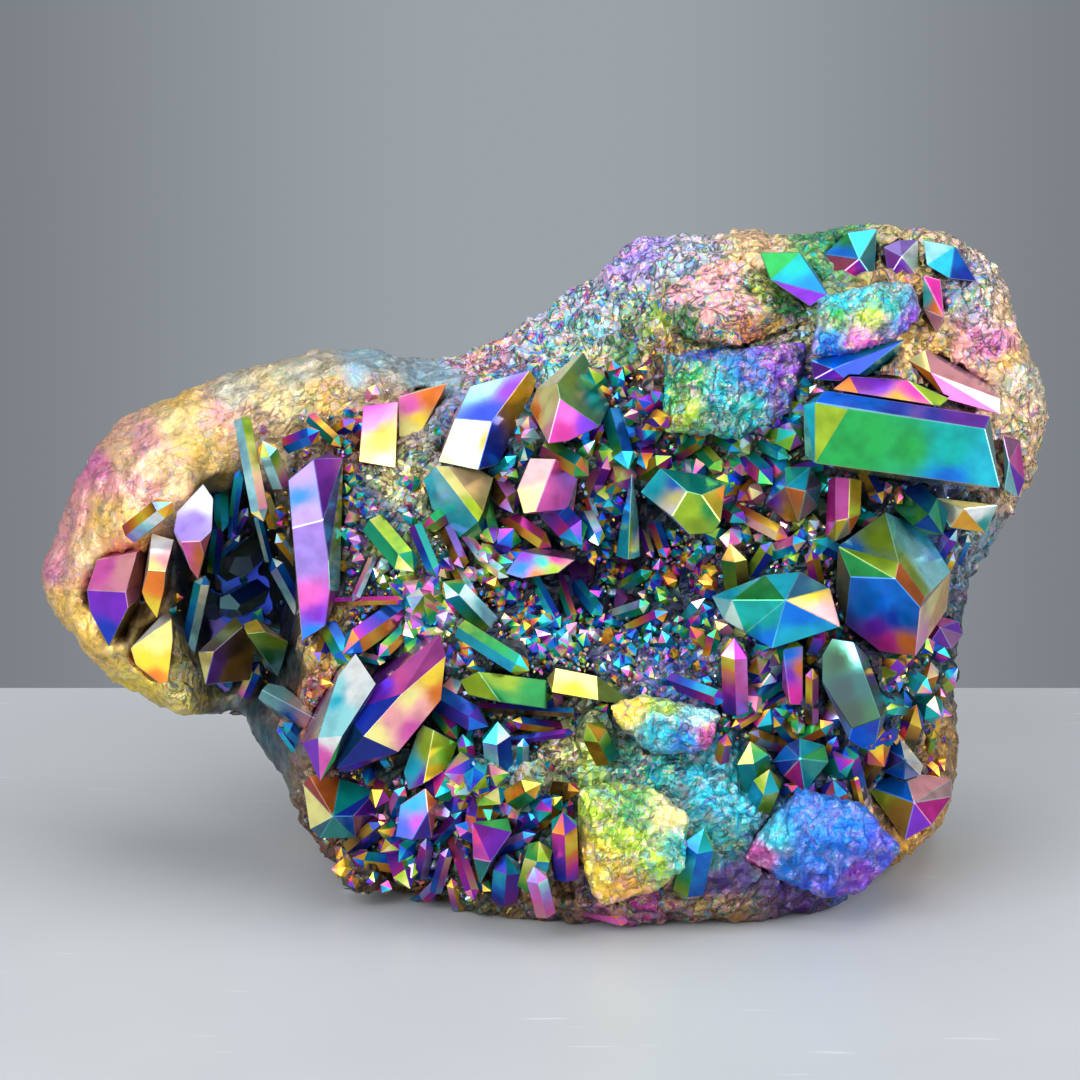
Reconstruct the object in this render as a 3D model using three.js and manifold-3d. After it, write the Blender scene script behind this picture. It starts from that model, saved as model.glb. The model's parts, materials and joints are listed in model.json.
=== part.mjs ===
// A cluster of metal-coated quartz crystals on rough rock: a wide lump with a hollow lobe on the left,
// a deep druse-lined hollow in the middle of its front, and fifty-one large crystals round it.
// Units are millimetres and +Z is up. The front faces -Y, and the origin is the middle of the footprint.
//
// Shapes are laid out in a sight frame, as the cluster is seen from the front and a little above:
// u runs right, v runs up across the line of sight, and d runs toward the viewer, all in millimetres.
import * as THREE from 'three';
import { ConvexGeometry } from 'three/addons/geometries/ConvexGeometry.js';
import { ConvexHull } from 'three/addons/math/ConvexHull.js';
import { mergeVertices } from 'three/addons/utils/BufferGeometryUtils.js';
import Module from 'manifold-3d';

const wasm = await Module();
wasm.setup();

// Driving dimensions
const SIGHT_TILT = THREE.MathUtils.degToRad(12);
const SIGHT_DISTANCE = 700;
const SIGHT_CENTRE = [0.5, 61.6];
const SOCKET_GAP = 0.3;
const SHORTEST_EDGE = 0.02;
const CELL = 7.1;
const EDGE_ROUNDING = 17;
const BACK_ROUNDING = 24;
const FOOT_ROUNDING = 6;
const FOOT_REACH = 2;
const FOOT_LEVEL = -2.4;
const OUTLINE_SPARE = 1.4;
const CRAG_HEIGHT = 1.5;
const CRAG_WIDTH = 9;
const CRYSTAL_SINK = 9;
const CRYSTAL_TAPER = 0.78;
const CAP_ANGLE = THREE.MathUtils.degToRad(52);

// The front outline of the rock, clockwise from the tip of the left lobe. Below v = 7 it runs past
// the floor, where the foot is cut flat.
const OUTLINE = [
  [-79.2, 54.5], [-77.9, 59.2], [-76.3, 65.6], [-73.9, 68.5], [-70.4, 74.7], [-66.7, 79.5], [-60.3, 82.2],
  [-55.5, 85.6], [-49.1, 88], [-39.5, 90.1], [-31.5, 90.9], [-23.5, 90.4], [-17.1, 89.1], [-11.5, 88.5],
  [-5.9, 92], [-1.1, 95.2], [2.1, 96.5], [4.5, 100], [10.1, 103.7], [15.7, 108.3], [29.3, 108.3],
  [40.5, 108.3], [46.9, 110.6], [53.3, 111], [60.5, 109.6], [66.9, 108.3], [71.7, 104.8], [74.1, 100],
  [75.4, 92.8], [77.8, 87.2], [78.7, 80.8], [78.4, 73.6], [74.7, 66.4], [68.5, 60.3], [66.1, 56], [65.8, 51.2],
  [66.4, 47], [64.2, 41.6], [64.5, 37.6], [63.8, 28], [65.6, 23], [63.2, 16], [58.9, 10.9], [54.9, 8.5],
  [51.5, -4], [45, -12], [-18, -12], [-29, -4], [-31.5, 8], [-32.5, 13.6], [-36.3, 16.5], [-37.4, 22],
  [-37, 27], [-40.8, 30.4], [-49.9, 32.5], [-56.3, 33.6], [-60.3, 35.5], [-63.5, 38.4], [-66, 43],
  [-70.7, 45.6], [-76.3, 50.1],
];

// Depth of the front of the rock at places on its face: [u, v, d]. Between them it is blended.
const FRONT_DEPTHS = [
  [-73, 56, -34], [-62, 74, -28], [-46, 83, -34], [-30, 84, -32], [-18, 86, -40], [-62, 42, -30],
  [-48, 36, -34], [-36, 58, -23], [-33, 36, -14], [-22, 68, -20], [-14, 78, -22], [-2, 76, -17],
  [4, 84, -15], [10, 98, -40], [-2, 91, -38], [26, 101, -24], [34, 93, -10], [26, 84, -16],
  [52, 95, -14], [58, 76, -8], [70, 93, -22], [74, 78, -24], [53, 108, -34], [10, 52, -26],
  [24, 58, -22], [42, 68, -15], [38, 49, -10], [57, 53, -12], [64, 45, -26], [-17, 52, -17],
  [-9, 38, -8], [13, 36, -5], [26, 33, -4], [52, 36, -9], [63, 23, -22], [-33, 25, -16],
  [-35, 17, -19], [-19, 17, -9], [0, 14, -4], [15, 14, 1], [29, 12, -1], [45, 12, -5],
  [58, 14, -18], [13, 2, -1], [-22, 5, -18],
];

// Depth of the back of the rock: [u, v, d]
const BACK_DEPTHS = [
  [-70, 58, -66], [-52, 62, -72], [-30, 66, -74], [0, 60, -80], [30, 70, -82], [60, 80, -76],
  [55, 45, -74], [0, 20, -74], [35, 15, -77], [50, 105, -70], [20, 102, -70], [-30, 20, -62],
];

// The open pocket in the left lobe: where its middle is, and its half sizes
const POCKET = { at: [-47.5, 53, -35], half: [10, 20, 22] };

// The block of the sight frame that holds the whole rock
const FIELD_LOW = [-86, -18, -104];
const FIELD_HIGH = [86, 120, 10];

// Placing the sight frame in the part
function place(u, v, d) {
  const spread = (SIGHT_DISTANCE - d) / SIGHT_DISTANCE;
  const across = SIGHT_CENTRE[0] + (u - SIGHT_CENTRE[0]) * spread;
  const up = SIGHT_CENTRE[1] + (v - SIGHT_CENTRE[1]) * spread;
  const sine = Math.sin(SIGHT_TILT);
  const cosine = Math.cos(SIGHT_TILT);
  return new THREE.Vector3(across, up * sine - d * cosine, up * cosine + d * sine);
}

// Seeded numbers, so that every build gives the same rock
function seeded(seed) {
  let state = seed * 7919 + 17;
  return () => {
    state = (state * 1664525 + 1013904223) % 4294967296;
    return state / 4294967296;
  };
}

function latticeValue(i, j, k) {
  const wave = Math.sin(i * 127.1 + j * 311.7 + k * 74.7) * 43758.5453;
  return wave - Math.floor(wave);
}

function noise(x, y, z) {
  const [i, j, k] = [x, y, z].map(Math.floor);
  const ease = (t) => t * t * (3 - 2 * t);
  const [a, b, c] = [x - i, y - j, z - k].map(ease);
  let sum = 0;
  for (const di of [0, 1]) {
    for (const dj of [0, 1]) {
      for (const dk of [0, 1]) {
        const weight = (di ? a : 1 - a) * (dj ? b : 1 - b) * (dk ? c : 1 - c);
        sum += weight * latticeValue(i + di, j + dj, k + dk);
      }
    }
  }
  return sum * 2 - 1;
}

// Distance inward from the outline: positive inside, negative outside
function insideOutline(u, v) {
  let nearest = Infinity;
  let inside = false;
  OUTLINE.forEach(([u1, v1], index) => {
    const [u2, v2] = OUTLINE[(index + 1) % OUTLINE.length];
    const along = ((u - u1) * (u2 - u1) + (v - v1) * (v2 - v1)) / ((u2 - u1) ** 2 + (v2 - v1) ** 2);
    const t = Math.min(1, Math.max(0, along));
    nearest = Math.min(nearest, Math.hypot(u - u1 - t * (u2 - u1), v - v1 - t * (v2 - v1)));
    if (v1 > v !== v2 > v && u < u1 + ((v - v1) / (v2 - v1)) * (u2 - u1)) inside = !inside;
  });
  return (inside ? nearest : -nearest) + OUTLINE_SPARE;
}

function blended(depths, u, v) {
  let total = 0;
  let sum = 0;
  for (const [atU, atV, d] of depths) {
    const weight = 1 / (((u - atU) ** 2 + (v - atV) ** 2) ** 1.5 + 20);
    total += weight;
    sum += weight * d;
  }
  return sum / total;
}

// Depth of the rock's front face where it meets the line of sight through (u, v)
function surfaceDepth(u, v) {
  const rim = Math.max(0, 1 - Math.max(0, insideOutline(u, v)) / EDGE_ROUNDING);
  return blended(FRONT_DEPTHS, u, v) - EDGE_ROUNDING * (1 - Math.sqrt(1 - rim * rim));
}

// How far inside the rock a place lies, as a share of the rounding: positive inside
function rockField(u, v, d) {
  const floor = place(u, v, d).z - FOOT_LEVEL + FOOT_REACH;
  const shares = [
    1 - insideOutline(u, v) / EDGE_ROUNDING,
    1 - (blended(FRONT_DEPTHS, u, v) - d) / EDGE_ROUNDING,
    1 - (d - blended(BACK_DEPTHS, u, v)) / BACK_ROUNDING,
    1 - floor / FOOT_ROUNDING,
  ];
  const rounded = Math.hypot(...shares.map((share) => Math.max(0, share)));
  const crags = noise(u / CRAG_WIDTH, v / CRAG_WIDTH, d / CRAG_WIDTH) * (CRAG_HEIGHT / EDGE_ROUNDING);
  const solid = 1 - rounded + crags;
  const [pu, pv, pd] = POCKET.at;
  const [hu, hv, hd] = POCKET.half;
  const pocket = Math.hypot((u - pu) / hu, (v - pv) / hv, (d - pd) / hd) - 1 + crags * 2;
  return Math.min(solid, pocket * (hu / EDGE_ROUNDING));
}

// Solids
function solidOf(geometry) {
  const bare = geometry.clone();
  bare.deleteAttribute('normal');
  bare.deleteAttribute('uv');
  const merged = mergeVertices(bare, 1e-4);
  return new wasm.Manifold(new wasm.Mesh({
    numProp: 3,
    vertProperties: Float32Array.from(merged.attributes.position.array),
    triVerts: Uint32Array.from(merged.index.array),
  }));
}

// Cuts leave a few edges too short to keep. Each is closed up to one of its ends, where the two ends
// share just the two neighbours that keep the skin closed.
function withoutShortEdges(positions, corners) {
  const point = (index) => new THREE.Vector3().fromArray(positions, index * 3);
  let triangles = [];
  for (let at = 0; at < corners.length; at += 3) triangles.push(corners.slice(at, at + 3));
  const neighbours = (index) => {
    const ring = triangles.filter((triangle) => triangle.includes(index)).flat();
    return new Set(ring.filter((other) => other !== index));
  };
  const isShort = (a, b) => point(a).distanceTo(point(b)) < SHORTEST_EDGE;
  const closable = (a, b) => {
    const around = neighbours(b);
    return [...neighbours(a)].filter((other) => around.has(other)).length === 2;
  };
  for (;;) {
    const edges = triangles.flatMap(([a, b, c]) => [[a, b], [b, c], [c, a]]);
    const edge = edges.find(([a, b]) => isShort(a, b) && closable(a, b));
    if (!edge) return triangles.flat();
    triangles = triangles
      .map((triangle) => triangle.map((index) => (index === edge[1] ? edge[0] : index)))
      .filter((triangle) => new Set(triangle).size === 3);
  }
}

function geometryOf(solid) {
  const { vertProperties, triVerts } = solid.getMesh();
  const geometry = new THREE.BufferGeometry();
  geometry.setAttribute('position', new THREE.BufferAttribute(Float32Array.from(vertProperties), 3));
  geometry.setIndex(withoutShortEdges(vertProperties, Array.from(triVerts)));
  return geometry;
}

// The largest piece left of a solid after cuts
function largest(solid) {
  return solid.decompose().sort((a, b) => b.volume() - a.volume())[0];
}

function hullOf(points) {
  return solidOf(new ConvexGeometry(points));
}

// The same corners moved out, so that every face of their hull moves out by at least the gap
function grown(points, gap) {
  const corners = new Map();
  for (const face of new ConvexHull().setFromPoints(points).faces) {
    let edge = face.edge;
    do {
      const corner = edge.head().point;
      if (!corners.has(corner)) corners.set(corner, []);
      corners.get(corner).push(face.normal);
      edge = edge.next;
    } while (edge !== face.edge);
  }
  return [...corners].map(([corner, normals]) => {
    const outward = new THREE.Vector3();
    normals.forEach((normal) => outward.add(normal));
    outward.normalize();
    for (let turn = 0; turn < 40; turn += 1) {
      const flattest = normals.reduce((a, b) => (a.dot(outward) < b.dot(outward) ? a : b));
      outward.addScaledVector(flattest, 0.1).normalize();
    }
    const least = Math.min(...normals.map((normal) => normal.dot(outward)));
    return corner.clone().addScaledVector(outward, gap / Math.max(0.1, least));
  });
}

// A closed skin round every place where the field is positive, one corner to each cell that it crosses
function skin(field, low, high, cell) {
  const counts = low.map((start, axis) => Math.ceil((high[axis] - start) / cell) + 1);
  const index = (i, j, k) => (k * counts[1] + j) * counts[0] + i;
  const value = new Float64Array(counts[0] * counts[1] * counts[2]);
  const each = (visit) => {
    for (let k = 0; k < counts[2]; k += 1) {
      for (let j = 0; j < counts[1]; j += 1) {
        for (let i = 0; i < counts[0]; i += 1) visit(i, j, k);
      }
    }
  };
  each((i, j, k) => {
    value[index(i, j, k)] = field(low[0] + i * cell, low[1] + j * cell, low[2] + k * cell);
  });
  const steps = [[1, 0, 0], [0, 1, 0], [0, 0, 1]];
  const corners = [];
  const cornerOf = new Map();
  each((i, j, k) => {
    if (i + 1 >= counts[0] || j + 1 >= counts[1] || k + 1 >= counts[2]) return;
    const crossings = [];
    for (let bits = 0; bits < 8; bits += 1) {
      const from = [i + (bits & 1), j + ((bits >> 1) & 1), k + (bits >> 2)];
      steps.forEach((step, axis) => {
        if ((bits >> axis) & 1) return;
        const a = value[index(...from)];
        const b = value[index(from[0] + step[0], from[1] + step[1], from[2] + step[2])];
        if (a > 0 === b > 0) return;
        const t = a / (a - b);
        crossings.push(from.map((start, n) => low[n] + (start + step[n] * t) * cell));
      });
    }
    if (!crossings.length) return;
    cornerOf.set(index(i, j, k), corners.length);
    const sum = crossings.reduce((total, point) => total.map((part, n) => part + point[n]));
    corners.push(sum.map((part) => part / crossings.length));
  });
  const triangles = [];
  each((i, j, k) => {
    steps.forEach((step, axis) => {
      const next = [i + step[0], j + step[1], k + step[2]];
      if (next.some((count, n) => count >= counts[n])) return;
      const here = value[index(i, j, k)] > 0;
      if (here === value[index(...next)] > 0) return;
      const [b, c] = [steps[(axis + 1) % 3], steps[(axis + 2) % 3]];
      const around = [[0, 0], [1, 0], [1, 1], [0, 1]].map(([m, n]) => (
        cornerOf.get(index(i - m * b[0] - n * c[0], j - m * b[1] - n * c[1], k - m * b[2] - n * c[2]))
      ));
      if (!here) around.reverse();
      triangles.push(around[0], around[1], around[2], around[0], around[2], around[3]);
    });
  });
  const geometry = new THREE.BufferGeometry();
  const positions = corners.flatMap((corner) => place(...corner).toArray());
  geometry.setAttribute('position', new THREE.Float32BufferAttribute(positions, 3));
  geometry.setIndex(triangles);
  return geometry;
}

// Gives each corner its place. Corners without a depth lie in the plane of a face whose other corners
// are known by then.
function settled(corners, faces, base) {
  const points = corners.map(([u, v, rise]) => (rise === undefined ? null : place(u, v, base + rise)));
  for (const face of faces) {
    const known = face.map((index) => points[index]).filter(Boolean);
    const plane = new THREE.Plane().setFromCoplanarPoints(known[0], known[1], known[2]);
    for (const index of face.filter((corner) => !points[corner])) {
      const [u, v] = corners[index];
      const [near, far] = [place(u, v, base), place(u, v, base - 1)];
      const share = plane.distanceToPoint(near) / plane.normal.dot(near.clone().sub(far));
      points[index] = near.lerp(far, share);
    }
  }
  return points;
}

// A crystal with corners read off the face: [u, v, lift over the rock]. Faces list the corners that share
// a plane, at least three of them with a lift. The sides run back and inward.
function traced(corners, { faces = [], lift = 0, sink = CRYSTAL_SINK, taper = CRYSTAL_TAPER } = {}) {
  const middle = [0, 1].map((axis) => corners.reduce((sum, corner) => sum + corner[axis], 0) / corners.length);
  const base = surfaceDepth(...middle) + lift;
  const front = settled(corners, faces, base);
  const ends = (axis) => [Math.min, Math.max].map((pick) => (
    middle[axis] + (pick(...corners.map((corner) => corner[axis])) - middle[axis]) * taper
  ));
  const [left, right] = ends(0);
  const [bottom, top] = ends(1);
  const root = [[left, middle[1]], [middle[0], bottom], [right, middle[1]], [middle[0], top]];
  return [...front, ...root.map(([u, v]) => place(u, v, base - sink))];
}

// A six-sided quartz point: it stands at a place on the rock and leans by (leanU, leanV) from the line of
// sight. Its cap is cut by three broad faces, as on most quartz of this kind.
function quartz(u, v, { width = 5, length = 9, lean = [0, 0], roll = 0, lift = 0, seed = 1 } = {}) {
  const random = seeded(seed);
  const base = surfaceDepth(u, v) + lift;
  const foot = place(u, v, base);
  const axis = place(u + lean[0], v + lean[1], base + 1).sub(foot).normalize();
  const side = new THREE.Vector3(0, 0, 1).cross(axis);
  if (side.length() < 0.1) side.set(1, 0, 0);
  side.normalize();
  const other = axis.clone().cross(side);
  const planes = [{ normal: axis.clone().negate(), offset: CRYSTAL_SINK * 0.5 }];
  for (let n = 0; n < 6; n += 1) {
    const angle = roll + (n * Math.PI) / 3;
    const outward = side.clone().multiplyScalar(Math.cos(angle)).addScaledVector(other, Math.sin(angle));
    planes.push({ normal: outward, offset: (width / 2) * (0.85 + random() * 0.3) });
    if (n % 2) continue;
    const sloped = outward.clone().multiplyScalar(Math.sin(CAP_ANGLE)).addScaledVector(axis, Math.cos(CAP_ANGLE));
    planes.push({ normal: sloped, offset: length * Math.cos(CAP_ANGLE) * (0.85 + random() * 0.15) });
  }
  return cornersOf(planes).map((corner) => corner.add(foot));
}

// Corners of the solid that lies behind every plane
function cornersOf(planes) {
  const corners = [];
  const inside = (point) => planes.every(({ normal, offset }) => normal.dot(point) < offset + 1e-6);
  planes.forEach((a, i) => planes.slice(i + 1).forEach((b, j) => planes.slice(i + j + 2).forEach((c) => {
    const across = b.normal.clone().cross(c.normal);
    const volume = a.normal.dot(across);
    if (Math.abs(volume) < 1e-6) return;
    const point = across.multiplyScalar(a.offset)
      .addScaledVector(c.normal.clone().cross(a.normal), b.offset)
      .addScaledVector(a.normal.clone().cross(b.normal), c.offset)
      .divideScalar(volume);
    if (inside(point) && corners.every((corner) => corner.distanceTo(point) > 0.02)) corners.push(point);
  })));
  return corners;
}

// Crystals of the left lobe, round its open pocket
function lobeCrystals() {
  return [
    ['lobe_magenta_point', 0x9a3fb0, [traced([
      [-72, 53.6, 5], [-65.8, 53.3, 9], [-70.4, 58.4], [-64, 59.7, 3], [-65.4, 50.7], [-68.5, 44.5, 3],
      [-71.5, 50.1], [-62.2, 61.3], [-63.5, 52.5], [-62.6, 48.6],
    ], { faces: [[0, 1, 2, 3], [0, 1, 5, 4, 6], [1, 3, 4, 7, 8], [4, 8, 5, 9]] })]],
    ['lobe_orange_crystal', 0xe08a28, [traced([
      [-61.6, 62.6, 4], [-58.1, 61.6], [-59.4, 56.6, 9], [-62.2, 56.8, 8], [-59.7, 53.6],
      [-60.8, 49.1, 3], [-62.6, 51.7], [-63.2, 53.3],
    ], { faces: [[0, 2, 3, 1], [3, 2, 5, 4, 6, 7]] })]],
    ['lobe_lavender_crystal', 0xb9a6dc, [traced([
      [-53.4, 70.6, 3], [-53.9, 61.4, 10], [-57, 61.3, 9], [-51.8, 68.3], [-52, 63.2], [-58.1, 62.9],
      [-57.6, 66.1], [-53.3, 59], [-54.2, 55.2, 4], [-55.4, 56.8],
    ], { faces: [[0, 1, 2, 3, 4, 5, 6], [2, 1, 8, 7, 9]], lift: 2 })]],
    ['lobe_yellow_wedge', 0xf2c324, [traced([
      [-58.4, 49.1, 4], [-59, 38.9, 6], [-65, 44.3, 6], [-58.2, 45.6], [-60.3, 38.6], [-64.2, 41.6],
      [-59.5, 50.1, 1], [-63.4, 45.9],
    ], { faces: [[0, 1, 2, 3, 4, 5], [0, 2, 6, 7]] })]],
    ['lobe_olive_prism', 0x8a7a4a, [traced([
      [-54.2, 43.7, 5], [-51.7, 43.7, 9], [-48.2, 49.4, 1], [-47, 47.8], [-53, 38.4, 4], [-45, 44.8],
      [-45.9, 39.2],
    ], { faces: [[0, 1, 2, 3], [1, 3, 4, 5, 6]], lift: -2, sink: 7 })]],
    ['lobe_grey_blade', 0x7d8a8c, [traced([
      [-46.4, 46.6, 6], [-43.5, 46.9, 6], [-39.8, 45.3, 3], [-40.5, 42.4], [-41.4, 39.7],
      [-47, 48.2, 2], [-44.8, 49],
    ], { faces: [[0, 1, 2, 3, 4], [0, 1, 5, 6]], lift: -3, sink: 8 })]],
    ['lobe_pale_prism', 0x9fb4c8, [traced([
      [-44, 37.6, 6], [-36, 33.3, 6], [-43, 38.7, 3], [-40.5, 38.2], [-35.7, 34.4], [-37.1, 31.2, 2],
      [-41.4, 34.2], [-44.6, 36.3],
    ], { faces: [[0, 1, 2, 3, 4], [0, 1, 5, 6, 7]], lift: -1 })]],
    ['tall_purple_crystal', 0x5b3fb0, [traced([
      [-39.8, 71.2, 7], [-35.7, 74.6, 8], [-39.2, 63.5, 9], [-34.2, 64.8], [-37.6, 45.4, 6],
      [-33.3, 58.4], [-33.1, 53.6], [-33.9, 47.8], [-38.1, 52], [-33.4, 75.5, 3], [-31, 74.7, 2],
      [-31.8, 64.8, 3], [-31.5, 53.6, 2],
    ], { faces: [[0, 1, 2, 3], [2, 3, 4, 5, 6, 7, 8]], sink: 10 })]],
  ];
}

// Crystals between the lobe and the middle hollow
function upperLeftCrystals() {
  return [
    ['gold_white_block', 0xf0c860, [traced([
      [-27.8, 83, 5], [-22.2, 83.8, 6], [-22.6, 73.1, 9], [-28.5, 74.1],
    ], { faces: [[0, 1, 2, 3]] })]],
    ['gold_slanted_block', 0xe8b030, [traced([
      [-22.2, 84.5, 5], [-14.4, 86.7, 4], [-19, 77.8, 7], [-22.1, 78.1],
    ], { faces: [[0, 1, 2, 3]] })]],
    ['white_band_crystal', 0xe8ead8, [traced([
      [-9.4, 72.8, 11], [-7.2, 80.6, 9], [-15.8, 74.1, 8], [-13.1, 81.1], [-6.4, 73.6, 6],
      [-1.1, 88.8], [0, 87.2], [-2.7, 79.7], [-10.7, 86.2, 1],
    ], { faces: [[0, 1, 2, 3], [0, 1, 4, 5, 6, 7]] })]],
    ['cyan_prism', 0x49c4cc, [traced([
      [-16.2, 73.4, 7], [-9.4, 64.5, 9], [-18.1, 71.2, 2], [-12.6, 61.9], [-16.8, 66.7],
      [-14.2, 73.4, 6], [-8.6, 66.1], [-7, 71.5, 3], [-9.1, 72.8, 3], [-8.5, 61.6, 3],
    ], { faces: [[0, 1, 2, 3, 4], [0, 1, 5, 6]], lift: 1 })]],
    ['cream_purple_crystal', 0xb98aa0, [traced([
      [3.7, 84.3, 10], [1.8, 77, 11], [3.2, 86.6, 7], [-1.1, 82.7], [0, 85.9], [10.1, 79.8, 5],
      [5, 77.4], [11.7, 83.2], [7.5, 91.7],
    ], { faces: [[0, 1, 2, 3, 4], [0, 1, 5, 6], [0, 2, 5, 7, 8]] })]],
    ['pink_block_crystal', 0xc86a9c, [traced([
      [3, 74.6, 9], [-0.2, 66.1, 11], [-1.1, 74.7, 7], [-2.1, 65.8], [-3.2, 69.6], [6.6, 71.7, 5],
      [4.8, 66.6], [5.8, 65.8, 3],
    ], { faces: [[0, 1, 2, 3, 4], [0, 1, 5, 6]], lift: 1 })]],
    ['teal_spear', 0x1f7d8e, [traced([
      [15.2, 72.2, 4], [14.6, 58.4, 10], [12.6, 59, 3], [13.8, 66.1], [16.5, 58.9, 4], [16.2, 66.1],
    ], { faces: [[0, 1, 2, 3], [0, 1, 4, 5]], lift: 3 })]],
    ['cyan_boat_crystal', 0x3fb8c0, [traced([
      [-5.1, 56.2, 6], [-2.6, 59.8, 6], [6.1, 58.4, 7], [3.4, 56.3], [-2.4, 55.4], [0.5, 60.6, 2],
      [6.4, 59.4, 3],
    ], { faces: [[0, 1, 2, 3, 4]], lift: 3 })]],
  ];
}

// Crystals between the middle hollow and the right edge
function rightCrystals() {
  return [
    ['yellow_terminated_crystal', 0xc7c84a, [traced([
      [24, 69.4, 11], [21.6, 65.4, 10], [26.4, 68.8, 11], [19.7, 73.1, 5], [16.6, 69.3], [24.5, 62.4],
      [28.2, 62.7], [29.4, 64.5], [30.2, 70.4, 5], [27, 72, 3],
    ], { faces: [[0, 1, 3, 4], [0, 1, 2, 5, 6, 7]], lift: 3 })]],
    ['faceted_gem', 0x2f9c94, [traced([
      [39.8, 70.1, 10], [43, 69.4, 10], [39.8, 73.3, 4], [43.8, 73.3, 4], [45.6, 70.4, 3], [45, 67, 4],
      [41.9, 64.3, 7], [39.8, 64.6, 4], [36.5, 67.4, 2], [38.1, 71.2, 2],
    ], { lift: 1 })]],
    ['magenta_yellow_block', 0xc43a8c, [traced([
      [47.8, 71.7, 7], [50.1, 71.5, 9], [49.9, 65, 10], [47.8, 64.6], [52, 71.2, 5], [51.8, 65.8],
      [46.4, 63.8, 4], [46.6, 71.2], [50.1, 62.6, 7], [47.8, 61.3, 5], [46.1, 61.6, 4],
    ], { faces: [[0, 1, 2, 3], [1, 2, 4, 5], [0, 3, 6, 7]] })]],
    ['big_blue_crystal', 0x1c3fa8, [traced([
      [55.8, 66.1, 4], [57.3, 55.4, 15], [50.2, 55.7, 11], [50.4, 60.6], [57.9, 58.1],
      [61.4, 50.7, 14], [62.1, 52.5], [66.2, 56.6], [62.2, 63.2], [60.6, 43], [54.9, 43.8], [49.4, 48],
      [66.2, 55.7], [65.6, 50.4], [47.8, 53.6, 3], [48.2, 60.6],
    ], {
      faces: [[0, 1, 2, 3, 4], [1, 4, 5, 6], [0, 4, 6, 7, 8], [1, 2, 5, 9, 10, 11], [5, 6, 9, 12, 13], [2, 11, 14, 15]],
      lift: 1,
      sink: 12,
    })]],
    ['teal_arched_wedge', 0x1c9c94, [traced([
      [28, 52.6, 1], [31.2, 52, 7], [29.9, 48.8, 5], [36.5, 52.3, 9], [39.8, 52, 11], [48.6, 47.7, 8],
      [37.6, 44.2, 6], [33.3, 46.7, 6], [36.5, 56, 3], [42.1, 56.5, 4], [46.9, 53.9, 5],
    ], { lift: 3 })]],
    ['blue_magenta_prism', 0x5a3ab0, [traced([
      [39.4, 44, 8], [42.6, 44.6, 8], [42.6, 35.2, 6], [40.5, 35.2, 6], [39.2, 38, 5], [41, 46, 6],
    ])]],
    ['dark_green_prism', 0x155a4c, [traced([
      [55, 33.1, 11], [50.4, 31.4, 10], [45.6, 43.2, 6], [47.2, 45.9], [50.6, 45.3], [45.6, 38.9],
      [52, 28.2, 5], [54.2, 29], [49.9, 29.6], [56.2, 34.1, 5], [52.8, 43.2],
    ], { faces: [[0, 1, 2, 3, 4, 5], [0, 1, 6, 7, 8], [0, 4, 9, 10]], lift: 3 })]],
    ['edge_purple_crystal', 0x8a3ac0, [traced([
      [62.1, 50, 3], [67.4, 48.6, -2], [68.2, 46.4, -2], [66.4, 44.2, 0], [62.7, 44.8, 4], [64.6, 47.6, 5],
    ], { lift: 2 })]],
    ['pale_blue_crystal', 0x9cc8dc, [traced([
      [55.7, 28.3, 4], [58.1, 30.2, 5], [59, 26.4, 11], [61.8, 25.6, 4], [61.4, 24, 4],
      [58.7, 23.2, 5], [55.5, 24.5, 4],
    ], { lift: 2 })]],
    ['teal_magenta_crystal', 0x2f9cb0, [traced([
      [42.1, 26.6, 11], [37.6, 26.1, 4], [39.8, 28.8, 5], [42.1, 29.9, 5], [46.1, 28.8, 5],
      [46.7, 26.1, 4], [42.9, 21.4, 5], [39.5, 23.8, 5],
    ], { lift: 1 })]],
    ['wedge_crystal', 0x6a8a3c, [traced([
      [52.5, 22.4, 5], [58.9, 13.6, 8], [63.2, 16, 6], [66.4, 20.6, 0], [66.4, 23.4, -2], [58.9, 24.6, 3],
      [60.4, 19.6, 9],
    ], { lift: 2 })]],
  ];
}

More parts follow.
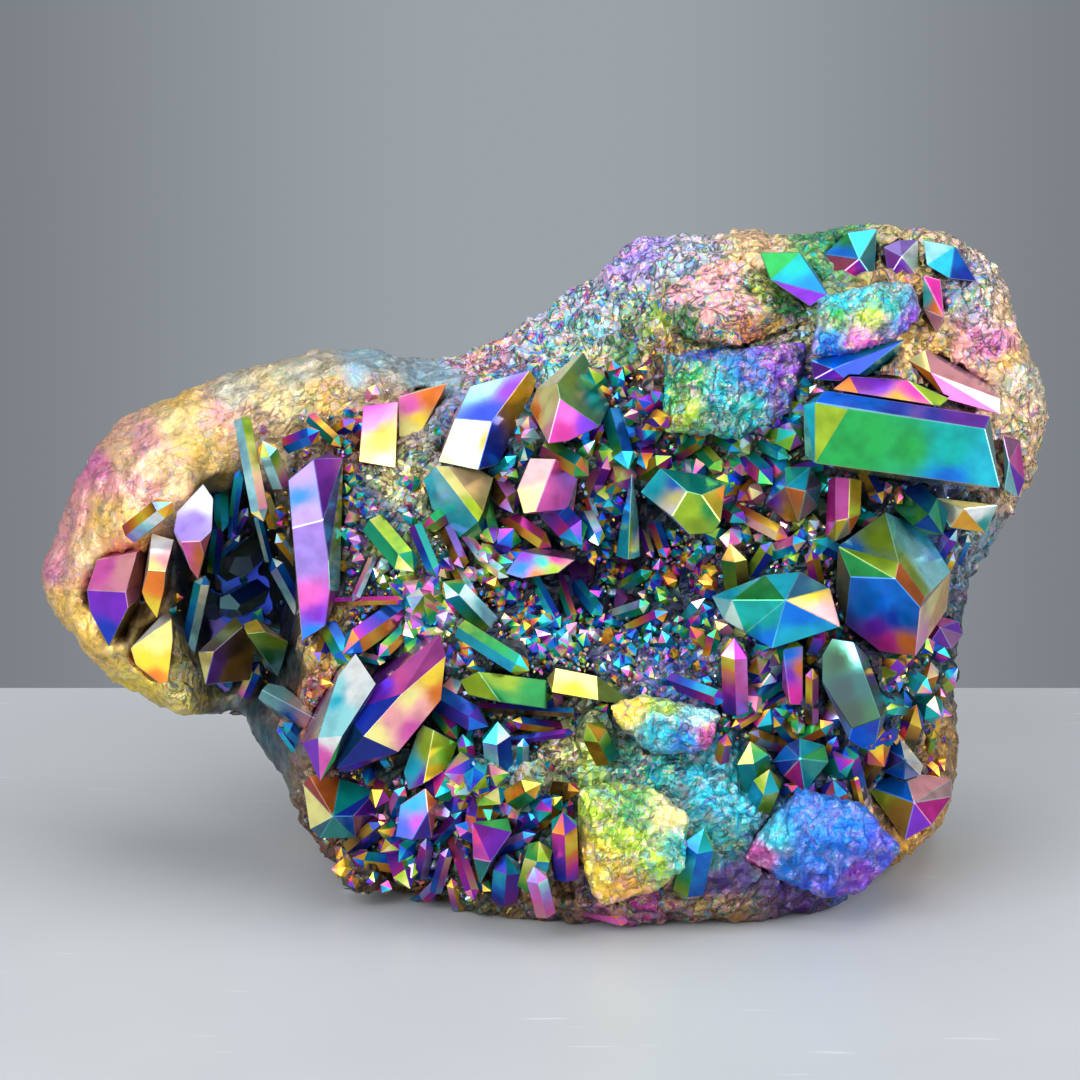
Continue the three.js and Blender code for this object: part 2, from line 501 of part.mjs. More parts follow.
// Crystals and rough blocks of the band below the hollow, down to the foot
function lowerCrystals() {
  return [
    ['white_pink_blades', 0xd8b0c8, [
      traced([
        [-29, 43.4, 5], [-25.8, 38.6, 10], [-31.2, 30.2, 12], [-35, 29.9], [-31.8, 39.8],
        [-37.6, 29.3, 5], [-34.7, 23, 4], [-32.3, 26.4, 8],
      ], { faces: [[0, 1, 2, 3, 4]], lift: 2 }),
      traced([
        [-27.7, 30.2, 12], [-14.6, 43, 10], [-22.2, 27.7, 10], [-21.6, 37], [-15.4, 36],
        [-15.5, 46.6, 5], [-30.6, 34.1], [-32, 25.1, 5], [-30.7, 24.3, 3],
      ], { faces: [[0, 1, 2, 3, 4], [0, 1, 5, 6]], lift: 2 }),
    ]],
    ['yellow_green_crystal', 0xb0bc3c, [traced([
      [-16.5, 31.2, 9], [-18.1, 22.6, 9], [-21.3, 24.5, 5], [-20.6, 21.6], [-18.6, 32.2],
      [-12.6, 29.1, 5], [-14.1, 25.1],
    ], { faces: [[0, 1, 2, 3, 4], [0, 1, 5, 6]] })]],
    ['lower_left_point', 0x2a6a8c, [traced([
      [-37.4, 22.6, 3], [-36.5, 24, 3], [-32.6, 17.4, 11], [-36.3, 15.4, 5], [-29.4, 17.4, 10],
      [-25.6, 21.6, 5], [-31.5, 23.5, 4], [-29, 13.9, 4], [-34.7, 13.9, 3], [-24.5, 17.6, 3],
    ], { lift: 1 })]],
    ['purple_oval_crystal', 0x5a3aa0, [traced([
      [-21.9, 19.2, 8], [-17.8, 21.9, 8], [-20, 13.6, 9], [-17.4, 18.1], [-22.6, 14.2],
      [-15.8, 19.7, 4], [-16.8, 13.9, 4],
    ], { faces: [[0, 1, 2, 3, 4]], lift: 1 })]],
    ['purple_prism', 0x7a4ab0, [traced([
      [-10.2, 10.7, 6], [-4.6, 17.1, 7], [-7.4, 10.1, 9], [-8.5, 15.4], [-4, 14.9], [-9.1, 6.6, 3],
      [-10.4, 16.5, 3],
    ], { faces: [[0, 1, 2, 3, 4]] })]],
    ['green_bar_low', 0x3a7a3c, [traced([
      [-9.4, 40.6, 6], [-5.9, 35.7, 9], [1.6, 34.6, 8], [1.6, 39.2], [-12.3, 39.2, 4], [-11, 36.8],
    ], { faces: [[0, 1, 2, 3], [0, 1, 4, 5]] })]],
    ['yellow_block', 0xe0c83c, [traced([
      [3, 41.1, 6], [2.4, 37.3, 9], [9.8, 36, 8], [9.6, 39.8], [1.6, 39.5, 4], [16.2, 35, 4],
    ], { faces: [[0, 1, 2, 3]] })]],
    ['rough_diagonal_prism', 0xa8c84a, [traced([
      [12.2, 35, 7], [16.5, 36.8, 6], [29.3, 33.6, 7], [26.9, 28, 8], [18.9, 27.7, 8], [13.9, 31.4, 9],
      [20, 33.4, 11], [28, 31, 10],
    ])]],
    ['rough_green_block', 0x9cb43c, [traced([
      [7.2, 21.6, 4], [10.9, 22.6, 3], [18.9, 21.6, 4], [23.7, 17.6, 4], [23.4, 8.8, 4], [19.7, 6.2, 3],
      [10.1, 3.6, 2], [6.9, 10.4, 3], [11, 19, 7], [18, 18, 7], [18.6, 9, 6], [11, 8, 5],
    ], { taper: 0.9 })]],
    ['blue_rough_slope', 0x2a6ac8, [traced([
      [37.3, 16.8, 4], [42.1, 21.4, 4], [51.7, 19.2, 4], [58, 12, 4], [51.7, 5.6, 3], [45.3, 4.8, 3],
      [33.3, 10.4, 3], [43, 15, 7], [51, 12.4, 7],
    ], { taper: 0.9 })]],
  ];
}

// The big bars, slabs and plates of the upper right, and the rough block at the top
function upperRightCrystals() {
  return [
    ['green_bar_crystal', 0x1c8c5a, [traced([
      [44.5, 83.7, 11], [49.8, 82.6, 11.5], [71.7, 79.4, 12], [74.1, 69.9, 12], [44.5, 73.9, 11],
      [42.6, 83.2, 7], [42.9, 75.2, 7], [46.1, 85.5, 6], [72.5, 81.4, 7],
    ], { sink: 10, taper: 0.86 })]],
    ['violet_tip_crystal', 0xb04ac0, [traced([
      [74.6, 78.4, 8], [77.3, 77.6, 2], [78.1, 71.2, 2], [77, 68.3, 4], [74.9, 69.6, 9], [75.6, 74, 9],
    ], { lift: 4 })]],
    ['orange_top_facets', 0xc8783c, [traced([
      [47.4, 85.8, 7], [50, 87.8, 5], [59.4, 87.2, 4], [66, 84.2, 5], [64, 82.6, 8], [52, 83.8, 9],
    ], { lift: 1 })]],
    ['blue_wedge', 0x2a4ac0, [traced([
      [43.8, 90.4, 5], [58.9, 93.7, 3], [50.1, 86.9, 7], [44.3, 87.3, 7], [47.4, 89, 8],
    ])]],
    ['rough_green_slab', 0x5aa04a, [traced([
      [44.5, 91.6, 7], [45.3, 100, 4], [54.9, 102.4, 4], [59.7, 102.7, 3], [61.3, 98.4, 4], [59.2, 94.9, 6],
      [50.1, 91.8, 8], [48, 97, 8], [57, 98, 8],
    ])]],
    ['green_violet_plate', 0x3a9c8c, [traced([
      [35.7, 107.6, 3], [42.1, 107.6, 3], [46.6, 100.8, 7], [43.7, 99, 7], [37.4, 103.2, 6],
    ], { lift: 2 })]],
    ['top_green_facets', 0x2f9c7c, [
      traced([[47.2, 103, 6], [46, 107.4, 2], [49.8, 110.8, 0], [54.4, 111.4, 0], [54, 103.2, 6], [51.6, 106.6, 7]]),
    ]],
    ['lavender_block', 0xa890d0, [traced([
      [55.5, 108.5, 3], [58, 109.6, 1], [61, 109.6, 1], [61, 103.7, 6], [56.2, 103.5, 6], [58.4, 107, 7],
    ])]],
    ['sky_blue_plate', 0x5ab0e0, [traced([
      [61.8, 109.6, 1], [66.9, 108.6, 0], [70.3, 103, 2], [66.1, 103.4, 6], [62.4, 105.6, 6],
    ])]],
    ['magenta_orange_plate', 0xd85a70, [traced([
      [61.8, 98.6, 5], [61.8, 104, 6], [64.6, 103.2, 6], [65.2, 97.2, 6], [64, 94.6, 4],
    ], { lift: 1 })]],
    ['salmon_plate', 0xe09a8c, [traced([
      [59.4, 90.4, 5], [62.1, 92, 4], [74.1, 84.2, 4], [74.1, 81.8, 5], [65.6, 84.2, 8], [63, 88.4, 8],
    ])]],
    ['gold_ledge', 0xd8b45a, [traced([
      [63.7, 68.4, 5], [73.8, 67.2, 2], [71.7, 62.7, 0], [66.1, 63.6, 5], [68.4, 66.6, 6],
    ], { lift: 2 })]],
    ['rough_top_block', 0xa86a9c, [traced([
      [20, 100, 3], [22.1, 102.6, 1], [28.5, 105.8, -4], [33.3, 105.8, -4], [42.1, 99.2, 2], [26.1, 97.1, 8],
      [32.5, 92.6, 12], [43.6, 96.8, 6], [24, 94, 6],
    ], { sink: 14 })]],
    ['rough_lower_block', 0x3a9a7c, [traced([
      [20.4, 91, 3], [20.4, 79.2, 4], [32.5, 78.2, 5], [40.5, 82.4, 5], [43.2, 93, 4], [33, 90, 8], [28, 84, 8],
    ], { sink: 12 })]],
  ];
}

// Middling crystals with no clear foot of their own, which grow out of the rock
function fusedCrystals() {
  return [
    traced([
      [3.8, 77, 4], [7.4, 77.4, 3], [9, 73.6, 5], [7.2, 71.2, 6], [4.8, 73, 8],
    ]),
    traced([
      [1.4, 64.6, 4], [6, 66, 3], [10.6, 61.4, 6], [9, 58.6, 7], [4.4, 60.2, 8],
    ], { lift: 2 }),
    traced([
      [29.6, 45.6, 6], [33.8, 45.8, 6], [33.8, 37.1, 5], [30.6, 37.4, 5], [29.4, 41, 6], [31.6, 44, 8],
    ]),
    traced([
      [50.6, 45.6, 5], [53.4, 43.4, 5], [58.6, 33, 6], [56.4, 31.6, 7], [53.6, 39.4, 8],
    ]),
    quartz(-1, 20.8, { width: 5, length: 8, lean: [0.2, 0.3], seed: 11 }),
    traced([
      [2.6, 11.2, 6], [2.6, 16, 6], [5, 17.6, 5], [6.6, 16, 5], [6.4, 11.2, 5], [4.4, 12, 8],
    ]),
    traced([
      [-1.6, 13.1, 6], [2, 13.1, 6], [1.6, 9, 8], [1.6, 4.6, 6], [-1.8, 4.6, 6],
    ]),
    traced([
      [-9.9, 41.8, 6], [-8.3, 45.6, 5], [-1.9, 44, 5], [-2.4, 41, 7], [-6, 43.4, 9],
    ]),
    traced([[44, 47, 6], [47.2, 44.3, 7], [46, 41, 6], [43.2, 43, 7]]),
    quartz(9.4, 31.6, { width: 6.4, length: 4.6, lean: [-0.1, 0.1], seed: 8 }),
    traced([
      [16.6, 78.6, 5], [17.4, 86.4, 3], [19.6, 87.2, 3], [19.4, 78.6, 6], [18.2, 80, 7],
    ]),
  ];
}

// Small crystals that grow out of the rock: each row is a patch with its middle, half sizes, how many
// crystals it has and how wide they are
const SMALL_CRYSTAL_PATCHES = [
  { at: [-20, 54], half: [9, 10], count: 1, width: [3.4, 4.6] },
  { at: [36, 70], half: [14, 8], count: 1, width: [3.4, 4.8] },
  { at: [-22, 12], half: [8, 5], count: 1, width: [4, 5.4] },
  { at: [-6, 25], half: [10, 5], count: 1, width: [3.6, 5] },
  { at: [38, 34], half: [8, 6], count: 1, width: [3.6, 5] },
  { at: [60, 36], half: [2, 5], count: 1, width: [3.6, 5] },
];

function smallCrystals() {
  return SMALL_CRYSTAL_PATCHES.flatMap(({ at, half, count, width }, patch) => {
    const random = seeded(patch + 31);
    return Array.from({ length: count }, (_, number) => {
      const spread = (axis) => at[axis] + (random() * 2 - 1) * half[axis];
      const wide = width[0] + random() * (width[1] - width[0]);
      return quartz(spread(0), spread(1), {
        width: wide,
        length: wide * (1 + random() * 0.9),
        lean: [random() * 1.6 - 0.8, random() * 1.6 - 0.8],
        roll: random() * Math.PI,
        seed: patch * 20 + number,
      });
    });
  });
}

// A hollow's crust: a plate on the hollow's floor, and the crystals that cover it
function crust({ at, half, front, back, count, width, reach, spread, seed }) {
  const random = seeded(seed);
  const plate = [front, back].flatMap((depth) => Array.from({ length: 10 }, (_, n) => place(
    at[0] + Math.cos((n * Math.PI) / 5) * half[0],
    at[1] + Math.sin((n * Math.PI) / 5) * half[1],
    depth,
  )));
  const crystals = Array.from({ length: count }, (_, number) => {
    const turn = number * 2.4;
    const ring = Math.sqrt((number + 0.5) / count) * spread;
    const u = at[0] + Math.cos(turn) * ring * half[0];
    const v = at[1] + Math.sin(turn) * ring * half[1];
    return quartz(u, v, {
      width: width[0] + random() * (width[1] - width[0]),
      length: reach[0] + random() * (reach[1] - reach[0]),
      lean: [random() * 1.2 - 0.6 - Math.cos(turn) * ring * 0.4, random() * 1.2 - 0.6],
      roll: random() * Math.PI,
      lift: front - surfaceDepth(u, v),
      seed: seed + number,
    });
  });
  return [plate, ...crystals];
}

function hollowCrusts() {
  return [
    ['middle_hollow_crystals', 0x2a4a6c, crust({
      at: [10, 52], half: [19, 9], front: -25, back: -33,
      count: 12, width: [3.6, 5.6], reach: [3, 6], spread: 0.84, seed: 70,
    })],
    ['left_pocket_crystals', 0x16202c, crust({
      at: [-47.5, 53], half: [8.5, 18], front: -53, back: -61,
      count: 8, width: [3.6, 5.6], reach: [5, 12], spread: 0.76, seed: 120,
    })],
  ];
}

// Building the nodes: every crystal keeps a gap to the ones before it, and the rock has a socket for each
function build() {
  const floorCut = solidOf(new THREE.BoxGeometry(400, 400, 40).translate(0, 0, FOOT_LEVEL - 20));
  const rows = [
    ...lobeCrystals(), ...upperLeftCrystals(), ...rightCrystals(), ...lowerCrystals(), ...upperRightCrystals(),
    ...hollowCrusts(),
  ];
  let rock = solidOf(skin(rockField, FIELD_LOW, FIELD_HIGH, CELL));
  for (const corners of [...fusedCrystals(), ...smallCrystals()]) rock = rock.add(hullOf(corners));
  const nodes = [];
  const sockets = [];
  for (const [name, colour, crystals] of rows) {
    let solid = crystals.map(hullOf).reduce((sum, piece) => sum.add(piece));
    for (const socket of sockets) solid = solid.subtract(socket);
    nodes.push({ name, colour, solid: largest(solid.subtract(floorCut)) });
    for (const corners of crystals) sockets.push(hullOf(grown(corners, SOCKET_GAP)));
  }
  for (const socket of sockets) rock = rock.subtract(socket);
  nodes.unshift({ name: 'host_rock', colour: 0x6a7a5c, solid: largest(rock.subtract(floorCut)) });
  return nodes;
}

const group = new THREE.Group();
for (const { name, colour, solid } of build()) {
  const material = new THREE.MeshStandardMaterial({ color: colour, roughness: 0.25, metalness: 0.9, flatShading: true });
  const mesh = new THREE.Mesh(geometryOf(solid), material);
  mesh.name = name;
  group.add(mesh);
}

// The origin goes to the middle of the footprint
const bounds = new THREE.Box3().setFromObject(group);
const middle = bounds.getCenter(new THREE.Vector3());
for (const mesh of group.children) mesh.geometry.translate(-middle.x, -middle.y, -bounds.min.z);

export default group;
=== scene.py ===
"""Finish of a coated amethyst cluster: rainbow crystals of every size on rough rock, in metres, +Z up."""
import json
import math
import random
from collections import namedtuple

import bmesh
import bpy
import numpy as np
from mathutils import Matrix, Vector, noise
from mathutils.bvhtree import BVHTree

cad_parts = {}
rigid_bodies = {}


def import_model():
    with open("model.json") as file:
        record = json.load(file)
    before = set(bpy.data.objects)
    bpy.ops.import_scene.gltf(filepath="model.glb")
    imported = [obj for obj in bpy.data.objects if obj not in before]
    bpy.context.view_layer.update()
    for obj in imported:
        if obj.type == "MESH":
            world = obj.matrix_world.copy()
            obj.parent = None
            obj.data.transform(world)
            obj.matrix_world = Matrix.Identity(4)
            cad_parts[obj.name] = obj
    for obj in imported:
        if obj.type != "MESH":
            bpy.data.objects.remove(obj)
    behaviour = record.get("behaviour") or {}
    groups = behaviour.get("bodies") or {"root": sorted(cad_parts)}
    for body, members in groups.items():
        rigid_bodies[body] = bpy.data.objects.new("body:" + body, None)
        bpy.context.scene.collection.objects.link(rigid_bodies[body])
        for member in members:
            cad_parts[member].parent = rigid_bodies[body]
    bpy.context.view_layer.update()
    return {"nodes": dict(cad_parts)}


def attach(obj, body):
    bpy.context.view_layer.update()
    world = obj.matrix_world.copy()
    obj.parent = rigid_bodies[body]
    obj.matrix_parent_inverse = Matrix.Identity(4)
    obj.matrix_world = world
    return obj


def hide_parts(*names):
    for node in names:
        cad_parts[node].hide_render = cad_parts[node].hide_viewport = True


bl_info = {
    "name": "Coated Amethyst Cluster",
    "version": (1, 0, 0),
    "blender": (4, 5, 0),
    "location": "View3D > Sidebar > Cluster",
    "description": "Dresses the packed cluster with coated crystals, granular rock and fine druse",
    "category": "Object",
}

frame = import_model()
MM = 0.001

# The sight frame in which the cluster is laid out, in millimetres: u runs right and v up across a line
# of sight 12 degrees above level, and d runs toward the viewer
SIGHT_TILT = math.radians(12)
SIGHT_DISTANCE = 700.0
SIGHT_CENTRE = (0.5, 61.6)
SIGHT_SHIFT = Vector((1.572, 45.991, -2.4))
TOWARD_VIEWER = Vector((0, -math.cos(SIGHT_TILT), math.sin(SIGHT_TILT)))

# The camera, and the height in its picture, in pixels from the top, at which the table ends
PIXELS_PER_MM = 6.25
PICTURE_SIZE = 1080
TABLE_EDGE_ROW = 688
SENSOR_WIDTH = 36
NEAREST_SEEN = 0.01

# Coat thickness, from thinnest to thickest, and the colour that it gives
FILMS = {
    "bronze": (0.00, (0.09, 0.045, 0.010)),
    "gold": (0.06, (0.86, 0.42, 0.03)),
    "yellow": (0.11, (0.96, 0.70, 0.05)),
    "orange": (0.16, (0.90, 0.22, 0.03)),
    "magenta": (0.22, (0.72, 0.03, 0.36)),
    "violet": (0.28, (0.22, 0.03, 0.60)),
    "blue": (0.34, (0.015, 0.05, 0.55)),
    "azure": (0.41, (0.005, 0.20, 0.85)),
    "cyan": (0.48, (0.02, 0.60, 0.80)),
    "teal": (0.54, (0.005, 0.42, 0.38)),
    "green": (0.60, (0.02, 0.38, 0.08)),
    "lime": (0.66, (0.42, 0.65, 0.03)),
    "cream": (0.72, (0.93, 0.86, 0.30)),
    "pink": (0.78, (0.93, 0.40, 0.42)),
    "rose": (0.84, (0.80, 0.12, 0.50)),
    "lavender": (0.90, (0.42, 0.28, 0.85)),
    "ice": (0.96, (0.35, 0.85, 0.90)),
    "white": (1.00, (0.95, 0.97, 0.95)),
}

# Colours of bare rock under a thin, dull coat, each with the coat that crystals on it come nearest to
EARTHS = {
    "sand": ("pink", (0.78, 0.50, 0.22)),
    "straw": ("yellow", (0.78, 0.60, 0.24)),
    "honey": ("gold", (0.84, 0.52, 0.09)),
    "shell": ("pink", (0.78, 0.33, 0.34)),
    "putty": ("cream", (0.58, 0.55, 0.42)),
    "slate": ("azure", (0.28, 0.45, 0.55)),
    "pearl": ("ice", (0.36, 0.42, 0.55)),
    # This near-black blue is painted shade: it darkens the deep pocket of the left lobe and the lobe's
    # underside
    "petrol": ("blue", (0.02, 0.07, 0.10)),
}
# The near-black that painted shade darkens every coat toward
PAINTED_SHADE_COLOUR = (0.004, 0.005, 0.009, 1)

# How a kind of coated surface is worn: its share of metal, the scale and detail of its grain, and the
# scale, strength and depth of its bumps. Scales are per metre, and the depth is in metres.
Surface = namedtuple("Surface", "metal grain detail bumps strength depth")
CRYSTAL_SURFACE = Surface(metal=0.66, grain=350.0, detail=2.0, bumps=260.0, strength=0.1, depth=0.12 * MM)
ROCK_SURFACE = Surface(metal=0.5, grain=900.0, detail=4.0, bumps=1100.0, strength=0.6, depth=0.4 * MM)
MATERIAL_NAMES = {
    "facet": "coated crystal faces",
    "druse": "coated druse",
    "rock": "coated granular rock",
}

# Soft lamps that face the cluster: name, place, width in metres and power in watts
LAMPS = (
    ("key", (-0.6, -0.85, 0.6), 0.9, 14),
    ("fill", (0.9, -0.4, 0.5), 0.9, 10),
    ("top", (0.05, 0.1, 0.95), 0.9, 5),
    ("low", (-0.75, -0.9, 0.12), 0.7, 2),
    ("front", (0.05, -1.35, 0.45), 1.6, 6),
)
LAMP_TARGET = Vector((0, 0, 0.05))
SKY_COLOUR = (0.9, 0.94, 1, 1)

# The sky's strength below the first height of a direction and above the second
SKY_HEIGHTS = (-0.1, 0.9)
SKY_STRENGTHS = (0.15, 0.45)

# The table and the backdrop, in metres: half their widths, the table's front edge, how far behind the table
# the backdrop stands, and its lower and upper edge
TABLE_HALF_WIDTH = 2
TABLE_FRONT = -1.2
WALL_HALF_WIDTH = 9
WALL_GAP = 3
WALL_FOOT, WALL_TOP = -5, 6

# Points of the CAD nearer than this, in metres, are one point
JOINED_WITHIN = 3e-6
